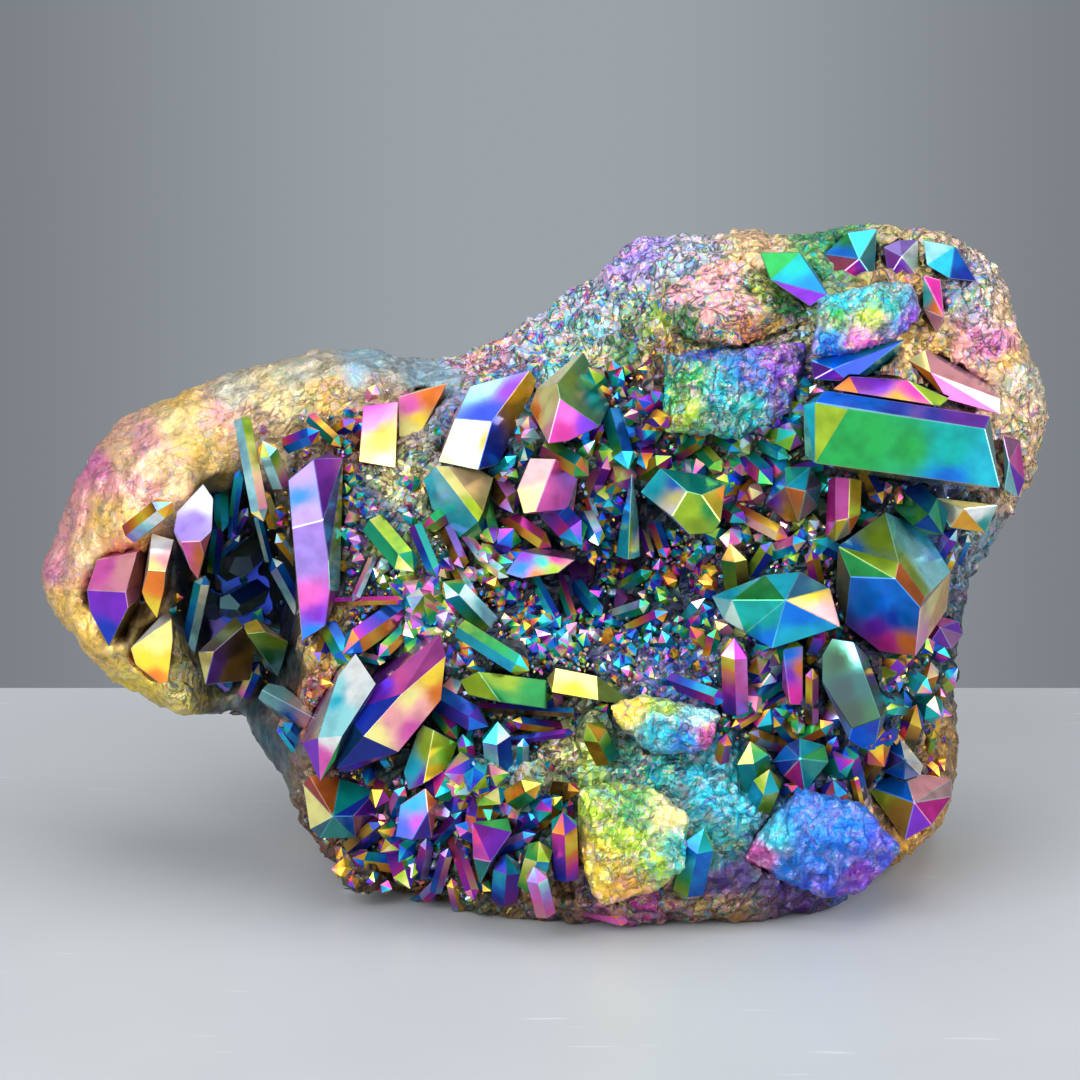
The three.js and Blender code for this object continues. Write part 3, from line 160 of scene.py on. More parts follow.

# Marks on the large crystals: (u, v, coat[, shade]) is the coat that shows at that place on the crystal,
# and between the marks of one facet the coat changes smoothly. Shade darkens the coat: it is painted shade.
CRYSTAL_MARKS = {
    "lobe_magenta_point": (
        (-69, 57, "rose"), (-66, 57.5, "pink"), (-70, 52.5, "violet"), (-68.6, 47, "blue"),
        (-67.2, 50.5, "violet"), (-64, 50, "gold", 0.5), (-66, 47.5, "bronze", 0.7),
    ),
    "lobe_orange_crystal": (
        (-60, 61.5, "white"), (-59.6, 58.6, "pink"), (-61.4, 57, "cream"), (-60.6, 54, "orange"),
        (-61, 50.5, "yellow"), (-58.5, 53.5, "gold", 0.6),
    ),
    "lobe_lavender_crystal": (
        (-55, 68.5, "white"), (-54.5, 65, "lavender"), (-57, 63, "lavender"), (-54, 59, "orange", 0.6),
        (-56.2, 59.5, "rose", 0.8), (-52.6, 67, "white"),
    ),
    "lobe_yellow_wedge": (
        (-60, 48, "white"), (-61, 45, "cream"), (-62.5, 42.5, "yellow"), (-61, 39.5, "orange"),
        (-64.3, 41, "orange"), (-59, 42, "yellow"),
    ),
    "lobe_olive_prism": (
        (-50.5, 47.5, "gold", 0.5), (-52.5, 43, "cream", 0.7), (-51.5, 40.5, "violet", 0.6),
        (-48, 44, "bronze"), (-48.6, 41.5, "gold", 0.35),
    ),
    "lobe_grey_blade": (
        (-44.5, 47.8, "yellow", 0.7), (-41.5, 45.6, "lime", 0.45), (-41, 41.5, "ice", 0.4),
        (-43.4, 42.5, "green", 0.3),
    ),
    "lobe_pale_prism": (
        (-42.5, 37.4, "ice", 0.7), (-38, 34.5, "white", 0.6), (-37.3, 32, "pink", 0.6),
        (-42.5, 35, "ice", 0.5), (-40, 33.2, "azure", 0.4),
    ),
    "tall_purple_crystal": (
        (-38, 71.5, "lavender", 0.45), (-37.2, 66, "lavender", 0.45), (-37.3, 58, "lavender", 0.7),
        (-38, 68.5, "azure", 0.5), (-36.6, 52.5, "rose"), (-35.4, 49.5, "violet", 0.8),
        (-35.5, 47, "azure"), (-33, 72.5, "violet", 0.6), (-30.4, 73, "gold", 0.5),
        (-31.9, 64, "lime", 0.55), (-31.5, 56, "ice", 0.6),
    ),
    "gold_white_block": (
        (-26.6, 83, "magenta", 0.8), (-26.3, 81, "rose", 0.8), (-25, 79, "orange", 0.8),
        (-24.6, 77, "yellow", 0.8), (-24, 74.2, "cream", 0.7),
    ),
    "gold_slanted_block": (
        (-20, 83, "rose"), (-17.5, 84.3, "orange"), (-19, 81, "yellow"), (-20, 79.2, "cream"),
    ),
    "white_band_crystal": (
        (-13, 76, "white", 0.6), (-10.5, 78, "white", 0.6), (-14.5, 74.5, "cream", 0.6),
        (-12, 83.5, "pink"), (-9, 86.5, "ice"), (-7.5, 82, "blue"), (-4, 85.5, "violet"),
        (-8.5, 77.5, "orange"), (-2.5, 86.6, "gold"), (-8.4, 75, "blue"),
    ),
    "cyan_prism": (
        (-17.2, 70.5, "cyan"), (-15, 69, "ice"), (-13.5, 66, "cyan"), (-13, 70.2, "cream"),
        (-10.5, 66.5, "lime"), (-11, 63, "green"),
    ),
    "cream_purple_crystal": (
        (1.2, 84.5, "cream"), (1.3, 81, "cream"), (1.5, 79, "pink"), (0, 82, "orange", 0.8),
        (5, 81.5, "rose", 0.8), (7.5, 80.2, "violet", 0.8), (4.5, 79, "magenta", 0.6),
        (5, 88, "lime", 0.45), (8.5, 85, "teal", 0.5), (1.5, 87, "cream"),
    ),
    "pink_block_crystal": (
        (-1.5, 71, "pink"), (-1.8, 68.5, "cream"), (0.8, 73.6, "pink"), (3.6, 71.5, "rose", 0.85),
        (2.2, 68, "rose"), (-2.9, 67, "ice", 0.7),
    ),
    "teal_spear": (
        (14.6, 69, "azure"), (13.6, 61, "cyan"), (14.9, 62, "lime"), (15.8, 61, "cyan"),
        (15.4, 68, "ice", 0.9),
    ),
    "cyan_boat_crystal": (
        (-2, 59.2, "violet", 0.7), (3, 58.6, "magenta", 0.7), (1, 57.8, "teal", 0.9),
        (-2.2, 57.2, "azure", 0.8), (2.6, 57, "lime", 0.6), (0, 56, "orange", 0.7),
    ),
    "yellow_terminated_crystal": (
        (19, 70.5, "cyan"), (22, 68, "cream"), (22.3, 70.8, "azure"), (27, 71, "teal", 0.8),
        (25, 66.5, "lime", 0.75), (27.5, 66.5, "green", 0.7), (28.5, 68.4, "yellow"),
        (25.5, 64.4, "lime", 0.5), (21.8, 66.6, "white"),
    ),
    "faceted_gem": (
        (40.5, 72, "teal"), (42.6, 71.5, "cyan"), (39, 70, "azure"), (41.5, 68.6, "orange", 0.4),
        (43.8, 69.5, "teal", 0.7), (40.5, 66, "gold", 0.4), (38, 68, "violet", 0.5),
    ),
    "magenta_yellow_block": (
        (47.6, 70, "magenta"), (47.8, 66, "rose"), (47.8, 62.5, "yellow"), (50.5, 70, "yellow"),
        (50.6, 65, "orange"), (50.3, 62, "white"),
    ),
    "big_blue_crystal": (
        (54.2, 61.5, "lime", 0.5), (53, 57.5, "green", 0.6), (56, 57.5, "lime", 0.5),
        (60, 63.8, "cyan", 0.9), (61, 60, "ice"), (62.5, 56, "ice"), (60.5, 55.4, "lime", 0.6),
        (58.5, 56, "orange", 0.4), (52.5, 54, "azure"), (52.5, 50.5, "azure", 0.9),
        (55, 51.5, "azure", 0.9), (54.5, 47.6, "violet", 0.9), (56.2, 45.4, "magenta"),
        (58.5, 53, "azure", 0.8), (59, 49, "azure", 0.8), (57, 49, "blue"), (59, 45.3, "orange"),
        (63.6, 52.5, "cream", 0.9), (63.5, 49, "gold", 0.9), (61.8, 45.4, "rose", 0.7),
        (50.6, 60, "azure", 0.7),
    ),
    "teal_arched_wedge": (
        (31, 53, "cyan"), (29.6, 51.4, "ice"), (34, 52.5, "green", 0.7), (37, 48.8, "teal"),
        (33, 49.4, "teal", 0.9), (38, 46, "azure"), (41.5, 55.4, "cyan"), (44, 53, "yellow"),
        (45.5, 50.4, "pink"), (42, 49.4, "azure"), (42, 46.2, "cyan", 0.8),
    ),
    "blue_magenta_prism": (
        (41, 45.2, "lime", 0.6), (40.4, 43, "azure", 0.8), (40.6, 40, "violet"), (41, 37, "magenta"),
        (42, 41, "orange", 0.8), (45.2, 45, "teal"), (46.2, 43, "green", 0.6),
    ),
    "dark_green_prism": (
        (48.5, 42.5, "green", 0.05), (49.5, 38, "teal", 0.03), (51, 33.5, "green", 0.03),
        (52, 38.5, "teal", 0.08), (54, 33.5, "green", 0.1), (52.5, 30, "azure", 0.8), (54.5, 31, "blue"),
        (51, 44, "ice", 0.8),
    ),
    "edge_purple_crystal": (
        (64, 49, "rose", 0.8), (66.4, 47.4, "violet"), (65, 45.6, "violet", 0.6),
        (63.4, 46.6, "magenta", 0.7),
    ),
    "pale_blue_crystal": (
        (57.4, 28.4, "azure"), (59.4, 28.6, "ice"), (58, 25, "azure", 0.7), (60.6, 26, "white", 0.9),
    ),
    "teal_magenta_crystal": (
        (40.5, 27.6, "azure"), (43.6, 28.2, "cyan"), (44.8, 26.4, "green"), (42, 24, "magenta", 0.8),
        (39.6, 25.6, "blue"), (44.4, 24, "teal", 0.7),
    ),
    "wedge_crystal": (
        (55.5, 21, "lime", 0.5), (58, 17.4, "gold", 0.5), (61, 17, "violet", 0.8),
        (58.5, 22.6, "azure", 0.7), (63.4, 21.6, "pink"), (62.4, 18.6, "magenta", 0.8),
    ),
    "white_pink_blades": (
        (-29, 40.5, "white"), (-29.6, 37, "white"), (-31.4, 34, "ice"), (-33, 30, "white"),
        (-34.6, 27, "rose"), (-35.2, 25.4, "violet"), (-33.4, 25, "green", 0.8), (-32, 38, "ice"),
        (-31.8, 36, "cyan"), (-23, 33, "pink"), (-26, 30.4, "cream"), (-20, 36, "cream"),
        (-17, 40, "yellow"), (-19, 35, "pink"), (-24.5, 27, "violet", 0.6), (-27.6, 26.4, "blue", 0.5),
        (-20, 31.4, "rose", 0.8), (-15.8, 37, "orange", 0.7), (-25, 37, "violet", 0.9), (-28, 33.6, "blue"),
        (-21, 39, "rose"),
    ),
    "yellow_green_crystal": (
        (-17.6, 28, "lime"), (-19.6, 25, "cyan"), (-16, 25.6, "yellow", 0.8), (-18.4, 23, "violet"),
        (-14.6, 27.6, "lime", 0.7),
    ),
    "lower_left_point": (
        (-36, 20, "cream"), (-35, 17.6, "cream", 0.9), (-33.6, 21, "orange", 0.6), (-31, 20, "teal"),
        (-29, 19.4, "blue"), (-27.6, 18.6, "violet"), (-32, 16, "teal", 0.8), (-30, 17, "azure", 0.7),
    ),
    "purple_oval_crystal": (
        (-20, 19, "azure", 0.8), (-19.4, 16.6, "violet"), (-17.4, 18.6, "orange"),
        (-21.4, 15.6, "blue", 0.8),
    ),
    "purple_prism": (
        (-7, 15.4, "violet", 0.8), (-8.6, 12, "rose", 0.8), (-6, 12, "violet", 0.6), (-8, 8.6, "teal"),
        (-5.4, 15.8, "green", 0.7),
    ),
    "green_bar_low": (
        (-9.6, 39.6, "lime", 0.7), (-5, 39.2, "lime", 0.5), (-1, 37.6, "green", 0.6),
        (-6, 36.4, "green", 0.6), (0, 36, "green", 0.5),
    ),
    "yellow_block": (
        (5, 40.2, "cream"), (8, 39.4, "cream", 0.9), (6, 37.8, "yellow", 0.8), (12.6, 38.6, "lime", 0.8),
        (13, 37.4, "green", 0.6),
    ),
    "rough_diagonal_prism": (
        (15, 35, "yellow"), (20, 35, "lime"), (26, 33.4, "ice"), (20, 31, "cyan", 0.8),
        (17, 29, "blue", 0.7), (24, 30, "azure", 0.8), (27.6, 30.4, "magenta", 0.8),
    ),
    "rough_green_block": (
        (10, 20, "lime"), (15, 19, "green"), (21, 17.6, "cream"), (14, 14, "lime"), (11, 10, "yellow"),
        (19, 10, "lime"), (15, 6, "gold"), (22, 12, "teal"),
    ),
    "blue_rough_slope": (
        (38, 14, "cyan", 0.8), (43, 18, "azure", 0.8), (50, 16, "azure", 0.8), (55, 13, "blue"),
        (48, 10, "azure", 0.7), (40, 9, "azure", 0.6), (51, 8, "violet", 0.7), (45, 6.4, "blue", 0.8),
        (36, 11, "rose", 0.6), (44, 12, "azure", 0.8),
    ),
    "green_bar_crystal": (
        (47, 79, "lime", 0.6), (53, 78, "green", 1), (60, 76.4, "green", 0.9), (66, 75, "teal", 0.9),
        (72, 73, "cyan", 0.7), (49, 75.6, "green", 0.9), (66, 77, "teal", 0.9), (60, 81.5, "blue"),
        (50, 83.6, "azure"), (70, 80, "violet", 0.8), (43.6, 79, "cyan"), (66, 71.6, "azure", 0.7),
    ),
    "violet_tip_crystal": (
        (76.2, 75, "rose"), (76.4, 71.6, "violet"), (77.4, 74, "magenta"), (75.6, 70.4, "ice", 0.8),
    ),
    "orange_top_facets": (
        (50, 86, "orange", 0.8), (55, 86.4, "violet", 0.8), (60, 85.4, "magenta", 0.7),
        (58, 84.2, "gold", 0.8), (63.6, 84, "lime", 0.8),
    ),
    "blue_wedge": (
        (48, 89.6, "azure"), (53, 91, "blue"), (50, 88.4, "blue", 0.8), (46, 88, "violet"),
        (56, 92.8, "cyan"),
    ),
    "rough_green_slab": (
        (48, 97, "green"), (53, 97.6, "lime"), (57, 99, "teal"), (59, 96.6, "violet"), (52, 93.4, "rose"),
        (47, 93, "azure"), (50, 100, "cyan"),
    ),
    "green_violet_plate": (
        (38.6, 105.6, "green"), (41.6, 105, "teal"), (43.4, 102.6, "azure"), (44.6, 100.6, "violet"),
    ),
    "top_green_facets": (
        (48.6, 107.6, "azure"), (50, 109.6, "green", 0.7), (52.6, 109, "cyan"), (52.6, 105, "violet"),
        (49.4, 104.6, "magenta"),
    ),
    "lavender_block": (
        (57.4, 107.6, "lavender"), (59.6, 106.4, "white", 0.9), (58, 104.4, "violet"),
        (60.4, 104.4, "lavender"),
    ),
    "sky_blue_plate": (
        (64.6, 108, "ice", 0.9), (66.6, 106.4, "azure"), (64.4, 106, "cyan"), (68.6, 104, "blue", 0.9),
    ),
    "magenta_orange_plate": (
        (63.4, 102, "magenta"), (63.6, 99, "orange"), (62.4, 100, "teal"), (64, 96.6, "pink"),
    ),
    "salmon_plate": (
        (62, 90.4, "cream"), (65, 88, "pink"), (70, 85, "pink", 0.9), (67, 84.6, "rose", 0.8),
        (62.6, 88.4, "orange", 0.8),
    ),
    "gold_ledge": (
        (68, 67.6, "cream"), (70.6, 65.6, "white", 0.9), (67.6, 65, "gold", 0.8), (71, 64, "teal", 0.7),
    ),
    "rough_top_block": (
        (24, 100.6, "pink", 0.8), (30, 103, "pink"), (36, 101.6, "lime", 0.6), (40, 99, "green", 0.5),
        (28, 97, "shell"), (33, 99, "pink"), (34, 94.6, "orange", 0.4), (37, 96, "gold", 0.4),
        (24, 97, "green", 0.4), (30, 94, "bronze"),
    ),
    "rough_lower_block": (
        (25, 88, "green", 0.8), (30, 86, "cyan", 0.6), (24, 82, "lime", 0.8), (34, 88, "azure", 0.6),
        (38, 90, "violet", 0.8), (40, 86, "violet", 0.6), (30, 81, "teal", 0.8), (26, 91.4, "blue", 0.7),
        (33, 83, "teal"), (22, 85, "green", 0.7),
    ),
}

# The large crystals whose faces are rough, and how far the coat changes from grain to grain on each
ROUGH_CRYSTALS = {
    "rough_diagonal_prism": 0.3,
    "rough_green_block": 0.3,
    "blue_rough_slope": 0.16,
    "rough_green_slab": 0.3,
    "rough_top_block": 0.42,
    "rough_lower_block": 0.34,
}

# Marks on the crusts of the two hollows, with painted shade that darkens them
HOLLOW_MARKS = {
    "middle_hollow_crystals": (
        (-4, 52, "azure", 0.6), (2, 55, "violet", 0.6), (4, 49, "gold", 0.6), (9, 54, "teal", 0.6),
        (12, 49, "blue", 0.6), (16, 55, "rose", 0.6), (19, 50, "lime", 0.6), (24, 54, "cyan", 0.6),
        (26, 50, "orange", 0.6),
    ),
    "left_pocket_crystals": (
        (-51, 62, "azure", 0.9), (-46, 66, "slate", 0.9), (-49, 50, "slate", 0.9), (-44, 55, "blue", 0.9),
        (-50, 42, "azure", 0.9), (-47, 58, "slate", 0.9), (-42, 48, "ice", 0.9),
    ),
}
FIRST_HOLLOW_SEED = 70

# Coats that a facet out of the viewer's sight may drift to, and how far
DRIFT_COATS = ("teal", "azure", "violet", "lime", "rose", "gold")
DRIFT_SHARE = 0.3
DRIFT_SHADES = (0.45, 0.85)

# Facets that turn by less than the first angle are one, and edges that turn by more than the second are
# bevelled. Bevels carry a painted highlight: they are this much paler than the facets beside them.
SAME_FACET = math.radians(3)
SHARP_EDGE = math.radians(9)
BEVEL_HIGHLIGHT_PALENESS = 0.2

# The bevels' painted highlight: they are this many times as bright as the facets beside them, and so much
# brighter still
BEVEL_HIGHLIGHT_GAIN = 1.2
BEVEL_HIGHLIGHT_LIFT = 0.1

# How widely a mark keeps its own coat before the next one mixes in, and how often long edges are split
MARK_SOFTNESS = 0.2
SPLIT_ROUNDS = 6

# Crystals have this many sides, with this turn in degrees from one to the next
SIDES = 6
SIDE_TURN = 360 / SIDES

# Middling crystals that lie on the rock: (u, v) of the root, (u, v) of the tip, width, the coats of the
# left, middle and right side, and shade
LYING_CRYSTALS = (
    # In the pocket of the left lobe
    (-46.6, 78.1, -44, 64.5, 2.6, "gold cream ice", 0.8),
    (-50.6, 73.1, -50.4, 62.9, 2.2, "teal green azure", 0.5),
    (-48, 71.5, -48.8, 61.6, 1.3, "blue azure blue", 0.8),
    (-55.8, 44.3, -53.3, 56, 2.4, "ice azure ice", 0.6),
    (-49.1, 56.8, -45.3, 60.8, 2.4, "gold ice gold", 0.7),
    (-47.5, 50.7, -45.9, 53.6, 2.1, "gold yellow azure", 0.6),
    (-55.2, 47.5, -53.9, 49.4, 1.6, "gold yellow lime", 0.6),
    (-39.5, 59.7, -41.8, 62.6, 1.9, "cream gold ice", 0.7),
    (-38.7, 52, -42.4, 58.7, 2.4, "azure ice blue", 0.5),
    (-45.9, 38.9, -44.6, 41.9, 2.1, "azure cream blue", 0.7),
    (-42.7, 66.1, -44, 69.6, 2.1, "pink gold cream", 0.8),
    (-43.5, 60.8, -44.8, 65.8, 1.3, "ice white azure", 0.7),
    (-47.8, 63.8, -46.2, 66.7, 1.4, "azure ice blue", 0.5),
    (-47.5, 53.6, -46.6, 56, 1.3, "ice azure teal", 0.5),
    (-50.4, 50.4, -49.8, 52, 1.1, "orange white gold", 0.7),
    (-37, 28.8, -40.6, 32.5, 2.1, "blue azure cyan", 0.6),
    (-39.5, 29.3, -41.3, 31.8, 1.4, "azure cyan blue", 0.7),
    (-63.2, 64.2, -58.4, 68, 3.2, "gold yellow ice", 0.7),
    (-51.5, 59, -50.9, 64.8, 1.9, "green teal blue", 0.4),
    (-45.9, 45.6, -44, 50.7, 1.9, "blue azure teal", 0.3),
    (-48.2, 68, -47.5, 72.8, 1.4, "blue teal azure", 0.4),
    (-41.8, 72.8, -43.7, 77.6, 2.9, "gold ice cream", 0.7),
    (-37.9, 77.6, -34.7, 78.9, 2.6, "orange violet azure", 0.7),
    (-53.1, 52, -52, 53.6, 1.3, "azure ice blue", 0.5),
    (-49.1, 60.8, -47.5, 62.4, 1.3, "white ice azure", 0.6),
    # Upper left of the face
    (-10.1, 72.8, -7.7, 67.7, 3.8, "green teal azure", 0.9),
    (-8.5, 66.7, -7.2, 61, 2.9, "lime green violet", 0.6),
    (-5.4, 69.3, -3.4, 66.1, 3.5, "violet rose bronze", 0.5),
    (-4.3, 65.1, 2.4, 60.5, 2.6, "azure magenta orange", 1),
    (2.9, 66.1, 7.5, 61.1, 4.2, "teal azure violet", 0.8),
    (3.7, 75, 8.5, 72.2, 3.2, "lime green orange", 0.5),
    (9.4, 70.9, 11.2, 75.2, 2.7, "cream pink violet", 1),
    (8.5, 76.6, 10.4, 80.2, 1.6, "cyan magenta orange", 0.8),
    (12.6, 79.5, 14.4, 72.8, 3.2, "green azure teal", 0.8),
    (8.2, 68.3, 9.6, 64.2, 1.4, "yellow white orange", 1),
    (7.2, 66.4, 8.5, 64.2, 1.3, "yellow gold orange", 1),
    (8.8, 63.5, 10.1, 60.8, 2.6, "gold ice azure", 0.7), (10.1, 84.3, 8.5, 89.4, 3.5, "cream lime teal", 1),
    (-24.5, 62.2, -19.7, 56.5, 3.8, "azure lime teal", 0.9),
    (-18.4, 61.3, -16, 55.5, 2.1, "violet teal blue", 0.7),
    (-8, 48.2, -14.7, 55.2, 3.7, "lime green ice", 0.8),
    (-10.7, 61.6, -8, 57.9, 1.6, "ice pink lavender", 0.9),
    (-8.5, 58.4, -4.6, 55.5, 1.9, "rose ice lime", 1),
    (-12, 55.5, -10.1, 52, 1.9, "yellow white orange", 0.9),
    (-15, 65.4, -18.1, 63.2, 2.6, "lime magenta green", 0.7),
    (-13.6, 61.3, -11.7, 57.1, 2.2, "gold rose bronze", 0.7),
    (0.2, 54.2, 3.8, 47.5, 1.9, "cyan azure teal", 1), (4, 54.2, 5.9, 48.5, 1.6, "gold magenta green", 0.6),
    (7.8, 52.6, 10.4, 49.4, 2.2, "teal cyan azure", 0.8),
    (-29.9, 51.8, -21.3, 52, 1.3, "cyan magenta gold", 0.8),
    (-26.1, 59, -29.3, 51.7, 1.3, "lavender ice pink", 0.7),
    (-23.5, 49.1, -31.2, 43.7, 3.8, "azure orange blue", 0.9),
    (-21.6, 46.6, -25.4, 43, 2.2, "blue orange teal", 0.8),
    (-9.8, 45.9, -1.3, 40.5, 2.9, "gold green cyan", 0.9),
    (-33.8, 45.6, -35, 42.1, 1.9, "magenta violet gold", 0.8),
    (-32.2, 45.6, -30.2, 41.8, 2.9, "teal azure green", 0.8),
    (-26.4, 41.1, -24.2, 39.8, 2.1, "yellow white gold", 1),
    (-28, 43, -24.2, 42.1, 1.4, "azure cream teal", 0.9),
    (-21.3, 39.8, -19.7, 38.6, 1.9, "green teal violet", 0.8),
    (-31.5, 79.2, -29, 80.8, 2.2, "rose gold violet", 0.8),
    (-26.4, 78.2, -29.6, 81.1, 2.4, "gold orange cream", 0.8),
    (-34.4, 79.5, -31.2, 76.6, 1.9, "orange yellow teal", 0.8),
    (-5.9, 72.8, -3.4, 75.2, 1.9, "azure cyan teal", 1),
    (-2.1, 76.3, -3, 80, 1.6, "azure orange cyan", 0.8),
    (-6.2, 71.2, -4.6, 72.5, 1.6, "pink orange white", 0.9),
    (13.3, 85.6, 12, 90.4, 2.2, "green azure orange", 0.7),
    (16.5, 77.6, 20, 79.2, 2.6, "violet lime blue", 0.5),
    (18.1, 72.8, 21.6, 75, 2.9, "violet orange lime", 0.5),
    # Right of the hollow
    (34.1, 74.1, 37.9, 70.6, 3.2, "green teal violet", 0.7),
    (26.7, 75.7, 29.6, 72.5, 2.4, "cream lime green", 0.8),
    (34.4, 70.2, 32.2, 67.7, 2.1, "violet magenta orange", 0.5),
    (29.9, 66.7, 33.4, 64.2, 2.6, "azure teal violet", 0.7),
    (34.1, 65.1, 40.2, 61.9, 2.4, "magenta orange pink", 1),
    (38.6, 60, 43, 61.6, 2.6, "azure pink cyan", 1), (35.4, 57.8, 37.6, 61.3, 2.4, "teal lime blue", 0.8),
    (32, 53.9, 31.2, 61.1, 3.8, "gold lime bronze", 0.5),
    (45, 54.6, 43.7, 60, 2.1, "rose violet gold", 0.9),
    (18.4, 65.4, 20.8, 58.7, 1.9, "orange azure magenta", 0.8),
    (16.8, 63.5, 18.4, 58.7, 1.3, "rose pink violet", 0.9),
    (15.5, 55.2, 18.4, 56.8, 1.9, "yellow green teal", 0.8),
    (24.2, 48.8, 27, 52.3, 2.7, "orange teal ice", 0.6),
    (27.4, 42.4, 28.6, 47.5, 2.1, "cyan yellow teal", 1),
    (31.7, 37, 31.4, 45.9, 3.8, "violet magenta rose", 0.9),
    (31.5, 42.4, 31.2, 45.9, 3.5, "lime gold bronze", 0.8),
    (37.9, 38.2, 31.2, 33.1, 2.2, "green teal azure", 0.7),
    (37.6, 35.4, 31.2, 31.5, 1.6, "orange bronze violet", 0.6),
    (44, 35, 44, 41.1, 1.9, "orange gold rose", 0.7),
    (40.5, 30.2, 37.9, 33.4, 2.2, "violet azure gold", 0.5),
    (42.1, 29.9, 47.5, 32.5, 2.4, "violet teal orange", 0.8),
    (56.2, 42.1, 58.1, 37.3, 2.1, "teal ice azure", 0.6),
    (58.1, 43.7, 61, 41.1, 1.8, "gold orange yellow", 0.6),
    (61.6, 37.9, 63.2, 42.1, 3.2, "white cream yellow", 1),
    (58.7, 34.1, 58.6, 37.6, 2.4, "azure blue cyan", 0.8),
    (58.4, 29.3, 60.5, 35.4, 4.2, "violet orange bronze", 0.7),
    (63.5, 31.5, 64.8, 37.9, 1.6, "magenta rose gold", 1),
    (62.6, 28.3, 63.4, 31.2, 1.6, "yellow gold lime", 0.9),
    (53, 71.5, 55.2, 67.4, 2.4, "orange blue gold", 0.7),
    (58.7, 69, 65.4, 62.9, 5.4, "teal blue green", 0.4), (64.5, 59.7, 67, 63.5, 2.4, "azure ice blue", 0.8),
    (68, 60, 69, 62.6, 1.6, "lime ice azure", 0.6), (65.4, 57.1, 66.6, 59.7, 1.8, "orange white gold", 1),
    (19.7, 52, 24.5, 54.9, 1.9, "orange azure violet", 0.6),
    (26.1, 58.4, 28.6, 60.8, 1.9, "azure teal violet", 0.6),
    (21.9, 64.8, 24.5, 63.5, 1.6, "magenta violet azure", 0.7),
    (14.2, 50.1, 18.1, 51.4, 2.2, "cyan ice teal", 0.9),
    (16.5, 48, 21, 50.1, 2.2, "lime orange azure", 0.8), (35, 35, 37, 36, 1.9, "rose violet orange", 0.6),
    (42.1, 72.8, 47.2, 74.1, 1.9, "azure violet teal", 0.6),
    (37.3, 76.3, 40.5, 74.7, 2.2, "green cyan teal", 0.7),
    (24.5, 76.6, 27, 78.2, 2.2, "violet green orange", 0.6),
    (29.9, 77.6, 32.8, 75.7, 2.2, "teal azure green", 0.6),
    (20.3, 83.4, 18.1, 85.3, 2.2, "orange blue teal", 0.7),
    # Band below the hollow
    (-15.2, 36, -7.8, 31.7, 3.8, "green azure blue", 0.8),
    (-14.9, 32.8, -12.6, 29.9, 2.2, "green orange teal", 0.8),
    (-10.4, 23.8, -11.7, 30.6, 2.4, "cyan teal magenta", 0.8),
    (-5.9, 24.2, -6.7, 32.5, 4.2, "cyan ice azure", 1),
    (-2.4, 24.5, -2.2, 29.9, 1.8, "violet azure lavender", 0.8),
    (3.7, 31.5, -4, 32.5, 1.9, "bronze gold violet", 0.6),
    (-3.4, 29.6, 5.9, 30.9, 1.3, "magenta blue violet", 0.9),
    (-6.6, 34.7, 6.9, 33.9, 1.4, "violet blue bronze", 0.6),
    (1.4, 21.9, 6.9, 21.3, 2.4, "orange bronze gold", 0.8),
    (1.1, 17.1, 4, 20.6, 2.4, "cyan teal yellow", 1),
    (-1.4, 16.5, 0.8, 18.1, 2.4, "magenta violet azure", 1),
    (-2.1, 21.3, 0.5, 22.9, 3.5, "lime gold green", 0.8),
    (4.6, 10.4, 4.3, 18.1, 3.7, "cyan violet orange", 0.9),
    (-0.5, 8.5, 0.8, 13.3, 3.7, "green lime teal", 0.9),
    (0.8, 4.3, -0.5, 9.4, 3.0, "pink rose lavender", 1),
    (-5, 6.6, -4.6, 11.4, 4.0, "lavender azure violet", 0.9),
    (-5.9, 12.3, -0.2, 14.6, 2.1, "violet lavender blue", 0.8),
    (-9.1, 21.6, -10.1, 14.9, 3.0, "rose orange violet", 0.8),
    (-6.6, 20.3, -7.8, 16.2, 2.7, "green teal bronze", 0.5),
    (-8.8, 13.9, -13, 16.2, 2.7, "cyan azure rose", 1),
    (-18.1, 10.1, -17.4, 13.9, 2.1, "azure violet lavender", 0.6),
    (-21.9, 12, -20, 5.9, 4.3, "green lime violet", 0.8),
    (-22.6, 9.8, -29.6, 10.7, 2.7, "magenta orange azure", 1),
    (-30.2, 7.8, -31.2, 12.6, 2.4, "orange lavender gold", 0.9),
    (-12.6, 12, -9.9, 4, 2.1, "orange rose magenta", 0.8),
    (-18.1, 3.4, -16.5, 6.2, 2.4, "orange azure violet", 0.7),
    (-16.5, 5.9, -14.6, 7.8, 1.9, "blue lavender violet", 0.9),
    (-13, 4.3, -13.6, 7.5, 1.9, "orange rose gold", 0.8),
    (-15.8, 19.7, -13.6, 23.5, 2.9, "yellow cream lime", 1),
    (-15.5, 7.8, -14.2, 12.3, 1.9, "violet blue rose", 0.6),
    (10.1, 1.8, 14.6, 0.6, 1.8, "pink magenta rose", 1),
    (23.8, 38.2, 30.6, 35.7, 2.4, "lime azure violet", 0.8),
    (10.1, 28.8, 8.2, 32.5, 3.8, "lime gold green", 0.7),
    (-24.2, 22.6, -25.8, 18.7, 3.2, "bronze gold violet", 0.5),
    (-22.6, 19.4, -21.3, 22.2, 2.1, "violet rose azure", 0.7),
    (-19.4, 20, -17.1, 18.1, 1.9, "gold cream azure", 0.7),
    (-28, 13.6, -24.5, 16.5, 2.9, "violet bronze blue", 0.4),
    (-26.1, 7.2, -23.2, 5.6, 2.1, "gold azure orange", 0.8),
    (-9.4, 7.2, -7.2, 5.6, 1.9, "lime gold teal", 0.6),
    (-14.6, 15.2, -12, 18.1, 2.1, "orange violet azure", 0.7),
    # Lower right
    (41.8, 20, 44.3, 22.9, 2.1, "magenta rose azure", 1),
    (46.9, 27.7, 47.8, 30.2, 1.9, "violet magenta azure", 1),
    (50.4, 24.5, 49.4, 28.6, 3.2, "azure teal blue", 0.7),
